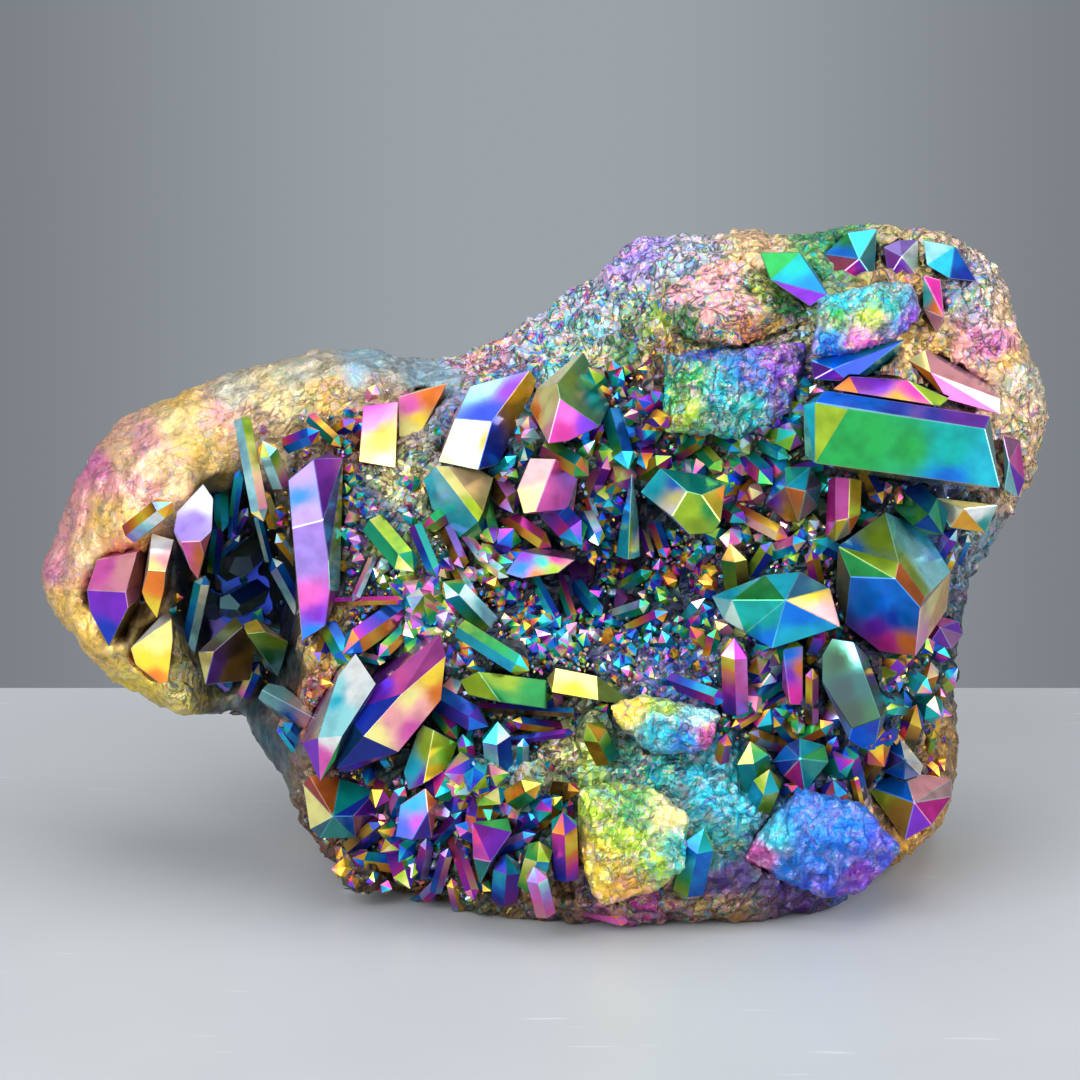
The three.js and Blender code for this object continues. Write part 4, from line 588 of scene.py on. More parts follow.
    (47.8, 19.7, 47.2, 23.2, 3.7, "violet azure orange", 0.9),
    (51.4, 20.6, 50.6, 24.2, 1.3, "orange gold yellow", 0.9),
    (52.6, 23.5, 55.5, 28, 2.4, "orange gold bronze", 0.8),
    (29.6, 26.7, 30.4, 30.6, 2.1, "violet orange rose", 0.8),
    (35.4, 22.6, 33.8, 29.3, 4.8, "green teal lime", 0.5),
    (37.6, 29.3, 33.8, 30.6, 2.2, "gold lavender bronze", 0.5),
    (24.8, 8.2, 26.4, 15.5, 4.5, "green teal azure", 0.9),
    (51.7, 31.2, 55.8, 29.6, 1.6, "gold orange azure", 0.7),
    (46.9, 18.1, 50.4, 19, 2.2, "rose magenta violet", 1),
    (35.7, 20, 37.6, 24.8, 4.2, "green cyan lime", 0.7),
)

# How lying crystals stand, in millimetres: the root over the rock's face, the tip over it and its further
# rise per millimetre of length and of width, how far the root goes on into the rock, and the least height
# over the table
ROOT_HEIGHT = 0.6
TIP_HEIGHT = 1.4
RISE_PER_LENGTH = 0.28
RISE_PER_WIDTH = 0.6
SUNK_LENGTH = 3
TABLE_GAP = 0.3

# The depth, in millimetres, near which the rock is sought where no line of sight meets it
MISSED_DEPTH = -20

# The shape of lying crystals: how long the point is for its width and the most of the length that it takes,
# how the lengths of its faces vary, how far its tip strays, how much wider than given it is, and how flat
POINT_LENGTH = 0.7
POINT_LIMIT = 0.5
POINT_SLANTS = (0.75, 1.3)
TIP_STRAY = 0.2
WIDENING = 1.25
FLATNESS = 0.85

# The coat of lying crystals: how far it drifts along a side, strays on a face of the point, and shifts at
# the tip
SIDE_DRIFT = 0.13
POINT_STRAY = 0.05
TIP_SHIFT = 0.05

# The painted light and shade of lying crystals: the shade of a side that faces away, the painted light that
# facing the viewer adds, how a side and a face of the point vary, and the root's share of its side's shade,
# as painted shade
AWAY_SHADE = 0.72
FACING_SHADE = 0.28
SIDE_SHADES = (0.75, 1.0)
POINT_SHADES = (0.7, 1.15)
ROOT_SHADE = 0.6

# Left of this u, crystals lie in the deep pocket: they are lifted off its floor by so many millimetres,
# and get so much painted light, up to a limit
POCKET_EDGE = -37
POCKET_LIFT = 6
POCKET_BRIGHTNESS = 3
POCKET_LIMIT = 1.3

# Places on the rock's face: (u, v, coat, shade, speckle, room, size), which blend into one another.
# Speckle is how far the coat changes from grain to grain, room is how densely crystals stand there, and
# size is their width in millimetres.
# Shade is painted shade, darkest in the deep pocket and in the gaps between crystals
ROCK_PLACES = (
    # The rind of the left lobe
    (-79, 57, "rose", 0.9, 0.2, 0, 1), (-77, 61, "shell", 1, 0.18, 0, 1), (-74, 66, "shell", 1, 0.18, 0, 1),
    (-70, 66, "honey", 1, 0.2, 0, 1), (-70, 72, "rose", 0.8, 0.18, 0, 1), (-66, 75, "sand", 1, 0.18, 0, 1),
    (-64, 70, "shell", 0.9, 0.2, 0, 1), (-62, 78, "shell", 1, 0.18, 0, 1), (-55, 76, "honey", 1, 0.2, 0, 1),
    (-57, 84, "honey", 1, 0.16, 0, 1), (-78, 52, "honey", 1, 0.2, 0, 1), (-51, 81, "shell", 0.9, 0.2, 0, 1),
    (-67, 60, "orange", 0.8, 0.2, 0, 1), (-42, 85, "straw", 0.9, 0.2, 0, 1),
    (-58, 81, "straw", 1, 0.14, 0, 1), (-48, 85, "putty", 0.9, 0.16, 0, 1),
    (-38, 88.5, "putty", 0.9, 0.14, 0, 1), (-28, 89.5, "slate", 0.9, 0.12, 0, 1),
    (-18, 87, "slate", 0.8, 0.14, 0, 1), (-60, 73, "sand", 1, 0.16, 0.1, 2),
    (-66, 65, "honey", 1, 0.16, 0.1, 1.6), (-72, 60, "sand", 1, 0.14, 0, 1),
    (-52, 78, "honey", 0.9, 0.2, 0, 1), (-70, 71, "shell", 0.9, 0.14, 0, 1),
    (-52, 73, "honey", 0.5, 0.2, 0.2, 1.6), (-44, 80, "sand", 0.7, 0.3, 0.3, 2),
    (-75, 50, "honey", 0.9, 0.16, 0, 1), (-71, 45, "honey", 0.9, 0.16, 0, 1),
    (-63, 37.5, "yellow", 0.9, 0.12, 0, 1), (-56.5, 38, "yellow", 0.9, 0.3, 0, 1),
    (-59, 34, "petrol", 1, 0.06, 0, 1), (-57, 40, "cream", 0.9, 0.4, 0.2, 1.6),
    (-52, 32.5, "petrol", 1, 0.06, 0, 1), (-46, 31, "petrol", 1, 0.06, 0, 1),
    (-43, 30, "petrol", 0.9, 0.06, 0, 2), (-33, 84.5, "honey", 0.8, 0.3, 0.2, 1.6),
    (-26, 84, "sand", 0.7, 0.3, 0.3, 2),
    # The pocket of the left lobe
    (-47, 72, "petrol", 0.5, 0.1, 0.3, 2), (-51, 66, "petrol", 0.4, 0.1, 0.4, 2),
    (-45, 63, "petrol", 0.4, 0.1, 0.4, 2), (-47, 55, "petrol", 0.4, 0.1, 0.4, 2),
    (-53, 50, "petrol", 0.4, 0.1, 0.4, 2), (-42, 50, "petrol", 0.3, 0.1, 0.4, 2),
    (-41, 57, "petrol", 0.3, 0.1, 0.4, 2), (-47, 43, "petrol", 0.4, 0.1, 0.4, 2),
    (-40, 42, "petrol", 0.4, 0.1, 0.4, 2), (-56, 57, "petrol", 0.6, 0.1, 0.3, 2),
    (-64, 52, "honey", 0.35, 0.2, 0.3, 2), (-33.4, 49, "honey", 0.8, 0.3, 0.2, 1.6),
    (-33.6, 42, "honey", 0.9, 0.3, 0.1, 1.6), (-35, 36, "orange", 0.6, 0.4, 0.3, 2),
    (-33, 60, "straw", 0.5, 0.3, 0.5, 2), (-36, 78, "straw", 0.5, 0.4, 0.4, 2),
    (-31, 77, "orange", 0.6, 0.4, 0.6, 2),
    # The left part of the face
    (-22, 70, "cream", 0.9, 0.5, 0.2, 2), (-26, 66, "azure", 0.8, 0.6, 0.5, 2.2),
    (-22, 60, "lime", 0.8, 0.6, 0.6, 2.4), (-18, 50, "lime", 0.4, 0.6, 1, 3.8),
    (-26, 54, "azure", 0.4, 0.5, 1, 2.6), (-26, 46, "teal", 0.4, 0.6, 1, 2.8),
    (-8, 80, "azure", 0.5, 0.5, 0.5, 2), (-4, 66, "green", 0.4, 0.5, 1, 4), (4, 80, "lime", 0.4, 0.5, 1, 4),
    # The middle hollow and the druse round it
    (6, 52, "blue", 0.22, 0.5, 1, 1.8), (14, 52, "teal", 0.25, 0.5, 1, 1.8),
    (-4, 50, "blue", 0.25, 0.5, 1, 2), (24, 54, "azure", 0.3, 0.5, 1, 2.6),
    (12, 62, "blue", 0.25, 0.5, 1, 2.2), (14, 44, "azure", 0.6, 0.5, 0.9, 1.8),
    (2, 44, "teal", 0.4, 0.5, 1, 2.6), (22, 42, "azure", 0.9, 0.5, 0.3, 2),
    (14, 42.5, "lavender", 0.8, 0.5, 0.4, 2),
    # The right part of the face
    (14, 76, "green", 0.5, 0.5, 1, 4), (34, 74, "lime", 0.4, 0.5, 1, 4.2),
    (36, 62, "teal", 0.35, 0.5, 1, 3), (46, 64, "green", 0.35, 0.5, 1, 3),
    (58, 72, "blue", 0.3, 0.4, 1, 2.6), (66, 66, "azure", 0.35, 0.4, 0.6, 2),
    (36, 40, "teal", 0.4, 0.5, 1, 4.2), (60, 40, "teal", 0.4, 0.5, 0.8, 3.4),
    (44, 32, "azure", 0.4, 0.5, 1, 4.4), (58, 34, "azure", 0.4, 0.5, 0.8, 4.4),
    (64, 30, "gold", 0.5, 0.3, 0.3, 3),
    # The band below the hollow
    (-10, 32, "teal", 0.5, 0.5, 0.9, 4), (0, 32, "green", 0.5, 0.5, 0.9, 3),
    (-4, 27.5, "ice", 1, 0.5, 0.3, 2.4), (3, 28, "cream", 0.9, 0.5, 0.2, 2),
    (8, 26, "lime", 0.8, 0.3, 0.1, 2), (16, 24, "teal", 0.7, 0.4, 0.1, 2),
    (30, 22, "cyan", 0.8, 0.3, 0.05, 2), (28, 12, "teal", 0.6, 0.3, 0.2, 2),
    (-24, 18, "teal", 0.35, 0.5, 1, 4.8), (-12, 22, "green", 0.4, 0.5, 1, 4.6),
    (-2, 14, "teal", 0.4, 0.5, 1, 4.2), (-14, 10, "green", 0.5, 0.5, 1, 4.4),
    (-26, 8, "gold", 0.6, 0.5, 0.8, 2.4), (-30, 14, "orange", 0.5, 0.5, 0.6, 2.4),
    # The crust of the foot
    (-20, 3, "gold", 0.35, 0.5, 0.2, 2), (0, 2, "gold", 0.25, 0.5, 0.1, 1.6),
    (14, 1, "magenta", 0.35, 0.5, 0, 1.6), (30, 2, "gold", 0.35, 0.5, 0, 1.6),
    (22, 5, "bronze", 0.8, 0.3, 0, 1.6), (30, 7, "violet", 0.16, 0.2, 0, 1.6),
    (42, 5, "violet", 0.25, 0.3, 0, 1.6), (52, 5, "azure", 0.5, 0.4, 0, 1.6),
    (60, 14, "gold", 0.8, 0.25, 0, 1.6),
    # The top slope and the right rim
    (-8, 91, "shell", 0.9, 0.5, 0, 1.6), (2, 95, "pearl", 1, 0.6, 0, 1.6), (9, 99, "pearl", 1, 0.6, 0, 1.6),
    (14, 104, "lavender", 0.9, 0.5, 0, 1.6), (17, 107, "lavender", 1, 0.4, 0, 1.6),
    (10, 96, "ice", 0.7, 0.6, 0, 1.6), (34, 108, "sand", 0.9, 0.3, 0, 1.6),
    (26, 106, "pearl", 0.9, 0.4, 0, 1.6), (45, 109, "green", 0.7, 0.3, 0, 1.6),
    (3, 90, "ice", 0.7, 0.6, 0, 1.6), (14, 92, "green", 0.5, 0.6, 0, 1.6),
    (20, 97, "lime", 0.6, 0.6, 0, 1.6), (12, 85, "violet", 0.4, 0.5, 0.9, 2.4),
    (20, 90, "gold", 0.5, 0.6, 0.3, 2), (9, 90, "cream", 0.8, 0.6, 0, 1.6),
    (-4, 86, "azure", 0.6, 0.6, 0.2, 1.6), (60, 100, "honey", 0.6, 0.4, 0.2, 2),
    (74, 98, "sand", 1, 0.3, 0, 1.6), (70, 99, "pearl", 0.9, 0.5, 0, 1.6),
    (68, 92, "shell", 1, 0.3, 0, 1.6), (72, 94, "rose", 0.7, 0.4, 0, 1.6),
    (75, 90, "honey", 1, 0.3, 0, 1.6), (64, 93, "honey", 0.8, 0.4, 0, 1.6),
    (78, 82, "sand", 1, 0.4, 0, 1.6), (77, 87, "putty", 1, 0.3, 0, 1.6),
    (74, 70, "sand", 0.8, 0.4, 0.1, 1.6), (70, 63, "slate", 0.6, 0.4, 0.2, 2),
)

# How the places meet: the scale per metre and the reach in millimetres of the bends in their borders, how
# fast a place fades, and how wide its even middle is
BEND_SCALE = 150
BEND_REACH = 2.6
PLACE_FADE = 1.9
PLACE_MIDDLE = 12

# Bare rock out of the viewer's sight: its coats with their shades, the scale per metre of their patches,
# how clearly the patches part, and the speckle, room and size that all share
HIDDEN_COATS = (
    ("shell", 0.9), ("sand", 0.9), ("honey", 0.9), ("putty", 0.8), ("slate", 0.8), ("pearl", 0.9),
)
HIDDEN_SCALE = 34
HIDDEN_CONTRAST = 5
HIDDEN_REST = (0.22, 0, 1.2)

# Where the rock reaches further out than its solid: (u, v), reach, and how far it goes right and up
BULGES = (
    (-77, 54, 11, -2.4, -0.8),
    (-68, 42, 9, -1.2, -1.2),
    (-54, 34, 11, 0, -2.6),
    (-40, 28, 8, -0.6, -1.6),
    (17, 108, 6, -0.6, 1.8),
    (33, 110, 5, 0, 1.2),
    (52, 112, 8, 0, 1.4),
    (79, 84, 8, 1.2, 0),
)

# Rock that speckles less than this is smooth-shaded
SMOOTH_SPECKLE = 0.2

# The rock's relief: its scales per metre, from broad lumps to single grains, with their shares, how sharp
# the creases are, and what the grain height grows from and by with speckle
LUMP_SCALE = 130
LONG_CREASE_SCALE, LONG_CREASE_SHARE = 250, 0.8
SHORT_CREASE_SCALE, SHORT_CREASE_SHARE = 560, 0.7
GRAIN_SCALE, GRAIN_SHARE = 1200, 0.4
CREASE_SHARPNESS = 3.2
SMOOTH_RELIEF = 0.32
SPECKLE_RELIEF = 1.9

# The rock's first millimetres over the table aren't moved, and the rest stays over the lowest height
FOOT_HEIGHT = 0.6
LOWEST = 0.05

# How coats mix from crystal to crystal: the scale per metre and strength of the waves of chance, and how far
# chance strays from them
CHANCE_SCALE = 230
CHANCE_STRENGTH = 0.85
CHANCE_STRAY = 0.12

# How far rock has to turn toward the viewer to show its named places, and over how much more they come in
SHOWN_FROM = -0.25
SHOWN_OVER = 0.35

# Small crystals stand where there is more room, and more of a turn toward the viewer, than the first number,
# and their density rises to its full over the second. Where it stays under the least, none stand.
ROOM_FROM, ROOM_OVER = 0.2, 0.5
TURN_FROM, TURN_OVER = 0.35, 0.3
LEAST_ROOM = 0.02

# A line of sight starts this far off the rock and is followed this far, in millimetres
SIGHT_START = 0.3
SIGHT_REACH = 60

# Painted shade: under small crystals the rock is darker, by how much at most, and how fast that is reached
# with room
SHADE_UNDER_CRYSTALS = 0.82
SHADE_UNDER_RISE = 1.3

# Small crystals come in so many variants and stand so densely at most, per square metre
VARIANTS = 9
DENSEST = 4.0e6

# How the variants differ, in widths: the height of the shoulder, of the tip over it, the tip's stray to the
# side, the steps in the shoulder, how far corners stand out, and how flat the whole is. The foot is so deep
# and so wide.
SHOULDERS = (0.25, 0.85)
TIPS = (0.35, 0.6)
TIP_LEAN = 0.14
SHOULDER_STEP = 0.12
CORNERS = (0.85, 1.1)
SQUASHES = (0.65, 1.0)
FOOT_DEPTH = 0.5
FOOT_WIDTH = 0.85

# How far a variant's face strays from the crystal's coat, and how much the coat changes over its height
FACE_STRAY = 0.16
FACE_SLOPE = 0.3

# Painted shade, darker toward a variant's foot: the shade of the foot, the least shade, and what the whole
# height adds
FOOT_SHADE = 0.25
LEAST_SHADE = 0.12
HEIGHT_SHADE = 0.85


def film(name):
    """Thickness of the named coat."""
    return FILMS[EARTHS[name][0] if name in EARTHS else name][0]


def colour_of(name):
    """Colour of the named coat or bare rock."""
    return EARTHS[name][1] if name in EARTHS else FILMS[name][1]


def place(u, v, d):
    """A place in the sight frame, in millimetres, as a point of the part, in metres."""
    spread = (SIGHT_DISTANCE - d) / SIGHT_DISTANCE
    across = SIGHT_CENTRE[0] + (u - SIGHT_CENTRE[0]) * spread
    up = SIGHT_CENTRE[1] + (v - SIGHT_CENTRE[1]) * spread
    sine, cosine = math.sin(SIGHT_TILT), math.cos(SIGHT_TILT)
    return (Vector((across, up * sine - d * cosine, up * cosine + d * sine)) - SIGHT_SHIFT) * MM


def sighted(point):
    """The sight frame's (u, v, d) of a point of the part."""
    x, y, z = point / MM + SIGHT_SHIFT
    sine, cosine = math.sin(SIGHT_TILT), math.cos(SIGHT_TILT)
    up, d = y * sine + z * cosine, z * sine - y * cosine
    spread = (SIGHT_DISTANCE - d) / SIGHT_DISTANCE
    return (
        SIGHT_CENTRE[0] + (x - SIGHT_CENTRE[0]) / spread,
        SIGHT_CENTRE[1] + (up - SIGHT_CENTRE[1]) / spread,
        d,
    )


EYE = place(*SIGHT_CENTRE, 0) + TOWARD_VIEWER * SIGHT_DISTANCE * MM


# Settings

def length_setting(name, description, default):
    return bpy.props.FloatProperty(
        name=name, description=description, default=default, unit="LENGTH", precision=5)


def share_setting(name, description, default):
    return bpy.props.FloatProperty(name=name, description=description, default=default, subtype="FACTOR")


def colour_setting(name, description, default):
    return bpy.props.FloatVectorProperty(
        name=name, description=description, default=default, subtype="COLOR", size=3)


class ClusterSettings(bpy.types.PropertyGroup):
    edge_width: length_setting("Edge width", "Width of the bright edge between two facets", 0.12 * MM)
    facet_grid: length_setting("Facet grid", "Spacing of the coat's colours on a facet", 1.5 * MM)
    facet_roughness: share_setting("Facet roughness", "Roughness of the crystals' faces", 0.2)
    rock_roughness: share_setting("Rock roughness", "Roughness of the coated rock", 0.34)
    rock_voxel: length_setting("Rock detail", "Size of the rock's finest mesh faces", 1.0 * MM)
    rough_voxel: length_setting("Rough crystal detail", "Size of their finest mesh faces", 0.45 * MM)
    growth_voxel: length_setting("Growing detail", "Size of mesh faces under small crystals", 1.6 * MM)
    grain_height: length_setting("Grain height", "Height of the grains on bare rock", 0.7 * MM)
    druse_spacing: length_setting("Druse spacing", "Least distance between small crystals", 1.4 * MM)
    fine_spacing: length_setting("Fine druse spacing", "Least distance between the finest ones", 0.62 * MM)
    seed: bpy.props.IntProperty(name="Seed", description="Seed of the small crystals", default=7)
    floor_colour: colour_setting("Floor colour", "Colour of the table", (0.41, 0.43, 0.45))
    wall_colour: colour_setting("Backdrop colour", "Colour of the backdrop", (0.33, 0.362, 0.394))


def settings():
    return bpy.context.scene.cluster


# Nodes

def add_node(tree, kind, inputs=None, **values):
    """A node with its values set and its inputs filled or linked."""
    made = tree.nodes.new(kind)
    for name, value in values.items():
        setattr(made, name, value)
    for key, value in (inputs or {}).items():
        usable = [socket for socket in made.inputs if socket.name == key and socket.enabled]
        socket = made.inputs[key] if isinstance(key, int) else usable[0]
        if isinstance(value, bpy.types.NodeSocket):
            tree.links.new(value, socket)
        else:
            socket.default_value = value
    return made


def maths(tree, operation, *values):
    return add_node(tree, "ShaderNodeMath", dict(enumerate(values)), operation=operation).outputs[0]


def place_in_piece(tree):
    return add_node(tree, "ShaderNodeTexCoord").outputs["Object"]


def cloud(tree, where, scale, detail, **inputs):
    """Noise between 0 and 1."""
    inputs = {"Vector": where, "Scale": scale, "Detail": detail, **inputs}
    return add_node(tree, "ShaderNodeTexNoise", inputs).outputs["Fac"]


def ranged(tree, value, from_range, to_range, **values):
    """A value carried from one range to another."""
    inputs = {
        "Value": value, "From Min": from_range[0], "From Max": from_range[1],
        "To Min": to_range[0], "To Max": to_range[1]}
    return add_node(tree, "ShaderNodeMapRange", inputs, **values).outputs[0]


def mixed_colour(tree, share_of_second, first, second):
    inputs = {"Factor": share_of_second, 6: first, 7: second}
    return add_node(tree, "ShaderNodeMix", inputs, data_type="RGBA").outputs[2]


def coat_colour(tree, thickness):
    """The colour of a coat of that thickness."""
    ramp = add_node(tree, "ShaderNodeValToRGB", {0: thickness})
    ordered = sorted(FILMS.values())
    for position, _ in ordered[2:]:
        ramp.color_ramp.elements.new(position)
    for stop, (position, stop_colour) in zip(ramp.color_ramp.elements, ordered):
        stop.position = position
        stop.color = (*stop_colour, 1)
    return ramp.outputs["Color"]


def new_material(name):
    """A material and its node tree, which is empty."""
    made = bpy.data.materials.new(name)
    made.use_nodes = True
    made.node_tree.nodes.clear()
    return made, made.node_tree


def show(tree, shader):
    output = add_node(tree, "ShaderNodeOutputMaterial")
    tree.links.new(shader.outputs[0], output.inputs["Surface"])


def own_value(tree, name, output="Fac"):
    """A value that the piece holds for each of its points or corners."""
    return add_node(tree, "ShaderNodeAttribute", attribute_name=name).outputs[output]


def grains_and_fold_shade(tree, where, base, tone):
    """Rock's colour and tone, with grains of other coats and painted shade in folds where its speckle is
    high.
    """
    speckle = own_value(tree, "speckle")
    patch = cloud(tree, where, scale=330.0, detail=4.0, Roughness=0.6, Distortion=0.6)
    bands = maths(tree, "FRACT", maths(tree, "MULTIPLY", patch, 3.4))
    spots = ranged(tree, cloud(tree, where, scale=520.0, detail=2.0), (0.4, 0.6), (0.2, 1.5))
    grains = mixed_colour(tree, maths(tree, "MULTIPLY", speckle, spots), base, coat_colour(tree, bands))
    # Painted shade: folds darken the tone, more deeply where the speckle is high
    fold = cloud(tree, where, scale=240.0, detail=5.0, Roughness=0.62, Distortion=0.8)
    off_crease = maths(tree, "ABSOLUTE", maths(tree, "SUBTRACT", fold, 0.5))
    fold_shade = ranged(tree, off_crease, (0.0, 0.05), (0.08, 1.25))
    depth = maths(tree, "MULTIPLY", speckle, 2.4)
    fold_shaded_tone = add_node(tree, "ShaderNodeMix", {0: depth, 2: 1.0, 3: fold_shade}).outputs[0]
    return grains, maths(tree, "MULTIPLY", tone, fold_shaded_tone)


def material(kind):
    """The coated material of one kind, made when it is first asked for."""
    return bpy.data.materials.get(MATERIAL_NAMES[kind]) or coated(kind)


def coated(kind):
    """A coated surface. Facets and rock take their colour from the piece's coat, druse from its film."""
    rock = kind == "rock"
    surface = ROCK_SURFACE if rock else CRYSTAL_SURFACE
    roughness = settings().rock_roughness if rock else settings().facet_roughness
    made, tree = new_material(MATERIAL_NAMES[kind])
    where = place_in_piece(tree)
    grain = cloud(tree, where, surface.grain, surface.detail)
    if kind == "druse":
        pits = maths(tree, "MULTIPLY", maths(tree, "SUBTRACT", grain, 0.5), 0.08)
        thickness = maths(tree, "ADD", own_value(tree, "film"), pits)
        base = coat_colour(tree, maths(tree, "PINGPONG", thickness, 1.0))
    else:
        base = own_value(tree, "coat", "Color")
    grain_range = (0.3, 0.7)
    tone = ranged(tree, grain, grain_range, (0.8, 1.14))
    if rock:
        base, tone = grains_and_fold_shade(tree, where, base, tone)
    # Painted shade: the coat darkens toward the painted shade colour as the piece's shade and its grain tone
    # fall
    painted_shade_and_tone = maths(tree, "MULTIPLY", own_value(tree, "shade"), tone)
    bump = add_node(tree, "ShaderNodeBump", {
        "Height": cloud(tree, where, surface.bumps, surface.detail, Roughness=0.6),
        "Strength": surface.strength, "Distance": surface.depth})
    show(tree, add_node(tree, "ShaderNodeBsdfPrincipled", {
        "Base Color": mixed_colour(tree, painted_shade_and_tone, PAINTED_SHADE_COLOUR, base), "Metallic": surface.metal,
        "Roughness": ranged(tree, grain, grain_range, (roughness * 0.85, roughness * 1.2)),
        "Normal": bump.outputs[0]}))
    return made


# Meshes

def node_shape(node):
    """A CAD node's shape as a bmesh, with its loose triangles joined."""
    shape = bmesh.new()
    shape.from_mesh(frame["nodes"][node].data)
    bmesh.ops.remove_doubles(shape, verts=shape.verts, dist=JOINED_WITHIN)
    return shape


def mesh_of(name, shape):
    """A mesh of a bmesh, which is freed."""
    mesh = bpy.data.meshes.new(name)
    shape.to_mesh(mesh)
    shape.free()
    return mesh


def linked(name, mesh):
    made = bpy.data.objects.new(name, mesh)
    bpy.context.collection.objects.link(made)
    return made


def finished(name, mesh, nodes, kind):
    """A piece of the cluster that stands for its CAD nodes."""
    piece = linked(name, mesh)
    mesh.materials.clear()
    mesh.materials.append(material(kind))
    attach(piece, "root")
    if nodes:
        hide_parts(*nodes)
    return piece


def write_floats(mesh, name, values):
    layer = mesh.attributes.new(name, "FLOAT", "POINT")
    layer.data.foreach_set("value", np.asarray(values, dtype=np.float32))


def write_colours(mesh, name, colours):
    layer = mesh.attributes.new(name, "FLOAT_COLOR", "POINT")
    opaque = np.ones((len(colours), 1))
    layer.data.foreach_set("color", np.hstack([colours, opaque]).astype(np.float32).ravel())


def facets_of(shape):
    """Joins the triangles of each flat facet and numbers the facets."""
    bmesh.ops.dissolve_limit(shape, angle_limit=SAME_FACET, verts=shape.verts, edges=shape.edges)
    layer = shape.faces.layers.int.new("facet")
    for number, face in enumerate(shape.faces):
        face[layer] = number
    return layer


def marks_by_facet(shape, marks):
    """Which marks lie on which facet, by looking at each mark from the viewer's eye."""
    tree = BVHTree.FromBMesh(shape)
    middle = sum((vert.co for vert in shape.verts), Vector()) / len(shape.verts)
    found = {}
    for u, v, coat, *shade in marks:
        ray = (place(u, v, 0) - EYE).normalized()
        spot, _, facet, _ = tree.ray_cast(EYE, ray)
        if facet is None:
            spot, _, facet, _ = tree.find_nearest(place(u, v, sighted(middle)[2]))
        found.setdefault(facet, []).append((spot, Vector(colour_of(coat)), shade[0] if shade else 1.0))
    return found


def facet_coats(shape, marks, seed):
    """For every facet, the marks that its coat is blended from: its own, or a near facet's, changed."""
    rng = random.Random(seed)
    own = marks_by_facet(shape, marks)
    middles = {face.index: face.calc_center_median() for face in shape.faces}
    coats = {}
    for face in shape.faces:
        if face.index in own:
            coats[face.index] = own[face.index]
            continue
        nearest = min(own, key=lambda facet: (middles[facet] - middles[face.index]).length)
        dim = rng.uniform(*DRIFT_SHADES)
        other = Vector(colour_of(rng.choice(DRIFT_COATS)))
        coats[face.index] = [
            (spot, coat.lerp(other, DRIFT_SHARE), shade * dim) for spot, coat, shade in own[nearest]]
    return coats


def blended_coat(point, coats):
    """Colour and shade at a point, blended between marks by how near they are."""
    total, colour_sum, shade_sum = 0.0, Vector((0, 0, 0)), 0.0
    for spot, coat, shade in coats:
        weight = 1 / ((point - spot).length_squared / (MM * MM) + MARK_SOFTNESS) ** 2
        total += weight
        colour_sum += weight * coat
        shade_sum += weight * shade
    return colour_sum / total, shade_sum / total


def split_long_edges(shape, longest):
    for _ in range(SPLIT_ROUNDS):
        bmesh.ops.triangulate(shape, faces=[face for face in shape.faces if len(face.verts) > 3])
        long_edges = [edge for edge in shape.edges if edge.calc_length() > longest]
        if not long_edges:
            return
        bmesh.ops.subdivide_edges(shape, edges=long_edges, cuts=1)
    bmesh.ops.triangulate(shape, faces=shape.faces)


def coated_facets(shape, marks, seed):
    """Gives a crystal its bevelled edges with a painted highlight and, corner by corner, its coat and
    painted shade.
    """
    layer = facets_of(shape)
    shape.faces.ensure_lookup_table()
    coats = facet_coats(shape, marks, seed)
    sharp = [edge for edge in shape.edges if edge.is_manifold and edge.calc_face_angle(0) > SHARP_EDGE]
    made = bmesh.ops.bevel(
        shape, geom=sharp, offset=settings().edge_width, segments=1, affect="EDGES", clamp_overlap=True)
    for face in made["faces"]:
        face[layer] = -1 - face[layer]
    split_long_edges(shape, settings().facet_grid)
    coat_layer = shape.loops.layers.float_color.new("coat")
    shade_layer = shape.loops.layers.float.new("shade")
    highlight_colour = Vector(colour_of("ice"))
    for face in shape.faces:
        bevel = face[layer] < 0
        facet = coats[-1 - face[layer] if bevel else face[layer]]
        for loop in face.loops:
            coat, shade = blended_coat(loop.vert.co, facet)
            # Painted highlight: bevels are paler and brighter than the facets beside them
            loop[coat_layer] = (*(coat.lerp(highlight_colour, BEVEL_HIGHLIGHT_PALENESS) if bevel else coat), 1)
            loop[shade_layer] = min(1, shade * BEVEL_HIGHLIGHT_GAIN + BEVEL_HIGHLIGHT_LIFT) if bevel else shade


def faceted_piece(node, marks, seed):
    """A piece for one CAD node whose facets are flat and coated."""
    shape = node_shape(node)
    coated_facets(shape, marks, seed)
    mesh = mesh_of(node + "_coated", shape)
    mesh.shade_flat()
    finished(mesh.name, mesh, [node], "facet")


def points_of(mesh):
    """A mesh's points and their normals."""
    arrays = []
    for name in ("co", "normal"):
        values = np.empty(len(mesh.vertices) * 3)
        mesh.vertices.foreach_get(name, values)
        arrays.append(values.reshape(-1, 3))
    return arrays


def remeshed(name, shape, voxel, smoothing):
    """A copy of a shape in small even faces."""
    mesh = mesh_of(name, shape)
    source = linked(name + " source", mesh)
    remesh = source.modifiers.new("Remesh", "REMESH")
    remesh.mode = "VOXEL"
    remesh.voxel_size = voxel
    smooth = source.modifiers.new("Smooth", "SMOOTH")
    smooth.iterations = smoothing
    smooth.factor = 0.5
    fine = bpy.data.meshes.new_from_object(source.evaluated_get(bpy.context.evaluated_depsgraph_get()))
    bpy.data.objects.remove(source)
    bpy.data.meshes.remove(mesh)
    fine.name = name
    return fine


# The rock

